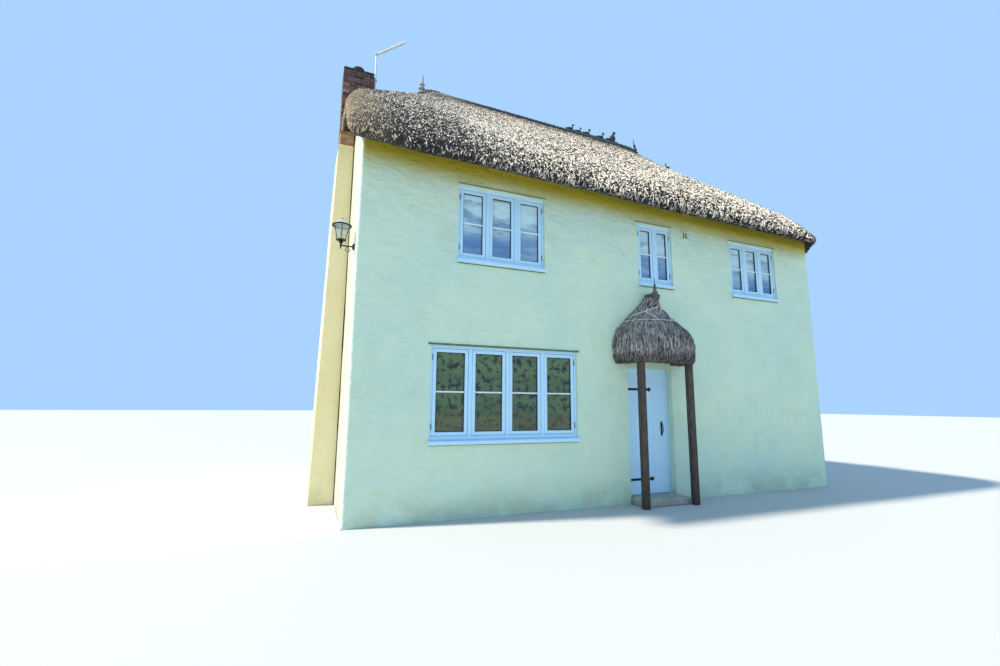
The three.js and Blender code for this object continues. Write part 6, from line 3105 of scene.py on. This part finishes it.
@dataclass
class Floors:
    """The stone ground floor and the boarded upper floor."""

    finishes: Finishes

    def build(self) -> None:
        """Dresses the floors."""
        f = self.finishes
        place("ground_floor_flags", softened("ground_floor", 0.004), f.stone, ["ground_floor"])
        place("upper_floor_boards", self.boards(), f.boards, ["upper_floor"])

    @staticmethod
    def boards() -> bpy.types.Mesh:
        """Boards over joists, with a ceiling under them.

        Returns:
            The mesh.
        """
        low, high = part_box("upper_floor")
        shape = Shape()
        width, thick, joist = 0.165, 0.025, 0.06
        count = round((high.y - low.y) / width)
        pitch = (high.y - low.y) / count
        for i in range(count):
            y = low.y + i * pitch
            shape.box((low.x, y + 0.0008, high.z - thick), (high.x, y + pitch - 0.0008, high.z), 0.002)
        shape.box((low.x, low.y, low.z), (high.x, high.y, low.z + 0.02), 0.002)
        joists = 18
        for i in range(joists + 1):
            x = low.x + (high.x - low.x - joist) * i / joists
            shape.box((x, low.y, low.z + 0.0205), (x + joist, high.y, high.z - thick - 0.0005), 0.003)
        return shape.mesh("upper_floor_boards")


# The stage


@dataclass(frozen=True)
class Stage:
    """The floor, the lights and the camera."""

    lens: float = 16.73
    sensor: float = 36.0
    eye: tuple[float, float, float] = (-4.698, -8.6, 1.45)
    yaw: float = math.radians(22.23)
    tilt: float = math.radians(8.7)
    roll: float = math.radians(-0.41)
    sky: Colour = (0.40, 0.66, 1.0)
    sun: Colour = (1.0, 0.93, 0.80)
    sun_power: float = 5.8
    sun_angle: float = math.radians(4)
    sun_from: tuple[float, float, float] = (-0.62, 0.12, 0.77)
    ground: Colour = (0.50, 0.50, 0.49)
    ground_reach: float = 90.0

    def build(self) -> None:
        """Makes the stage."""
        bpy.context.scene.view_settings.view_transform = "Standard"
        bpy.context.scene.view_settings.look = "None"
        self.camera()
        self.lights()
        self.floor()

    def camera(self) -> None:
        """A wide lens at eye height in front of the chimney end."""
        data = bpy.data.cameras.new("camera")
        data.lens = self.lens
        data.sensor_width = self.sensor
        data.sensor_fit = "HORIZONTAL"
        data.clip_end = 400.0
        camera = linked("camera", data)
        bpy.context.scene.camera = camera
        level = math.cos(self.tilt)
        ahead = Vector((math.sin(self.yaw) * level, math.cos(self.yaw) * level, math.sin(self.tilt)))
        right = Vector((math.cos(self.yaw), -math.sin(self.yaw), 0))
        up = right.cross(ahead)
        c, s = math.cos(self.roll), math.sin(self.roll)
        turned_right, turned_up = right * c - up * s, right * s + up * c
        matrix = Matrix((turned_right, turned_up, -ahead)).transposed().to_4x4()
        matrix.translation = Vector(self.eye)
        camera.matrix_world = matrix

    def lights(self) -> None:
        """A soft warm key from the chimney end, high and a little behind, in a cool even fill."""
        world = bpy.data.worlds.new("studio")
        bpy.context.scene.world = world
        world.use_nodes = True
        back = world.node_tree.nodes["Background"]
        back.inputs["Color"].default_value = (*self.sky, 1.0)
        back.inputs["Strength"].default_value = 1.0
        key = bpy.data.lights.new("key", "SUN")
        key.energy = self.sun_power
        key.angle = self.sun_angle
        key.color = self.sun
        lamp = linked("key", key)
        toward = Vector(self.sun_from).normalized()
        lamp.matrix_world = toward.to_track_quat("Z", "Y").to_matrix().to_4x4()

    def floor(self) -> None:
        """A plain pale floor."""
        reach = self.ground_reach
        corners = [(x * reach, y * reach, -0.001) for x, y in ((-1, -1), (1, -1), (1, 1), (-1, 1))]
        shape = Shape()
        shape.add(corners, [[0, 1, 2, 3]])
        mesh = shape.mesh("studio_floor")
        plain = Finish("studio_floor")
        mesh.materials.append(plain.finished(Base_Color=self.ground, Roughness=0.95))
        floor = linked("studio_floor", mesh)


def main() -> None:
    """Builds every piece in order."""
    logging.basicConfig(level=logging.INFO, format="%(name)s %(message)s")
    Stage().build()
    finishes = Finishes()
    pattern, tufts = Pattern(), ReedTufts()
    form = RoofForm()
    RenderedWalls(finishes).build()
    Floors(finishes).build()
    windows = [
        ("ground_window", 4, Facing.FRONT, finishes.room_glass),
        ("upper_left_window", 3, Facing.FRONT, finishes.glass),
        ("upper_middle_window", 2, Facing.FRONT, finishes.glass),
        ("upper_right_window", 3, Facing.FRONT, finishes.glass),
        ("back_window_1", 3, Facing.BACK, finishes.room_glass),
        ("back_window_2", 3, Facing.BACK, finishes.room_glass),
        ("back_window_3", 3, Facing.BACK, finishes.glass),
        ("back_window_4", 3, Facing.BACK, finishes.glass),
    ]
    for stem, lights, facing, glass in windows:
        Window(stem, lights, facing, finishes, glass).build()
    Door("front_door", Facing.FRONT, finishes).build()
    Door("back_door", Facing.BACK, finishes).build()
    Chimney(finishes, pattern).build()
    Aerial(finishes).build()
    Thatch(form, finishes, tufts).build()
    Ridge(form, finishes, pattern).build()
    Porch(finishes, tufts, pattern).build()
    WallPieces(finishes).build()


if __name__ == "__main__":
    main()
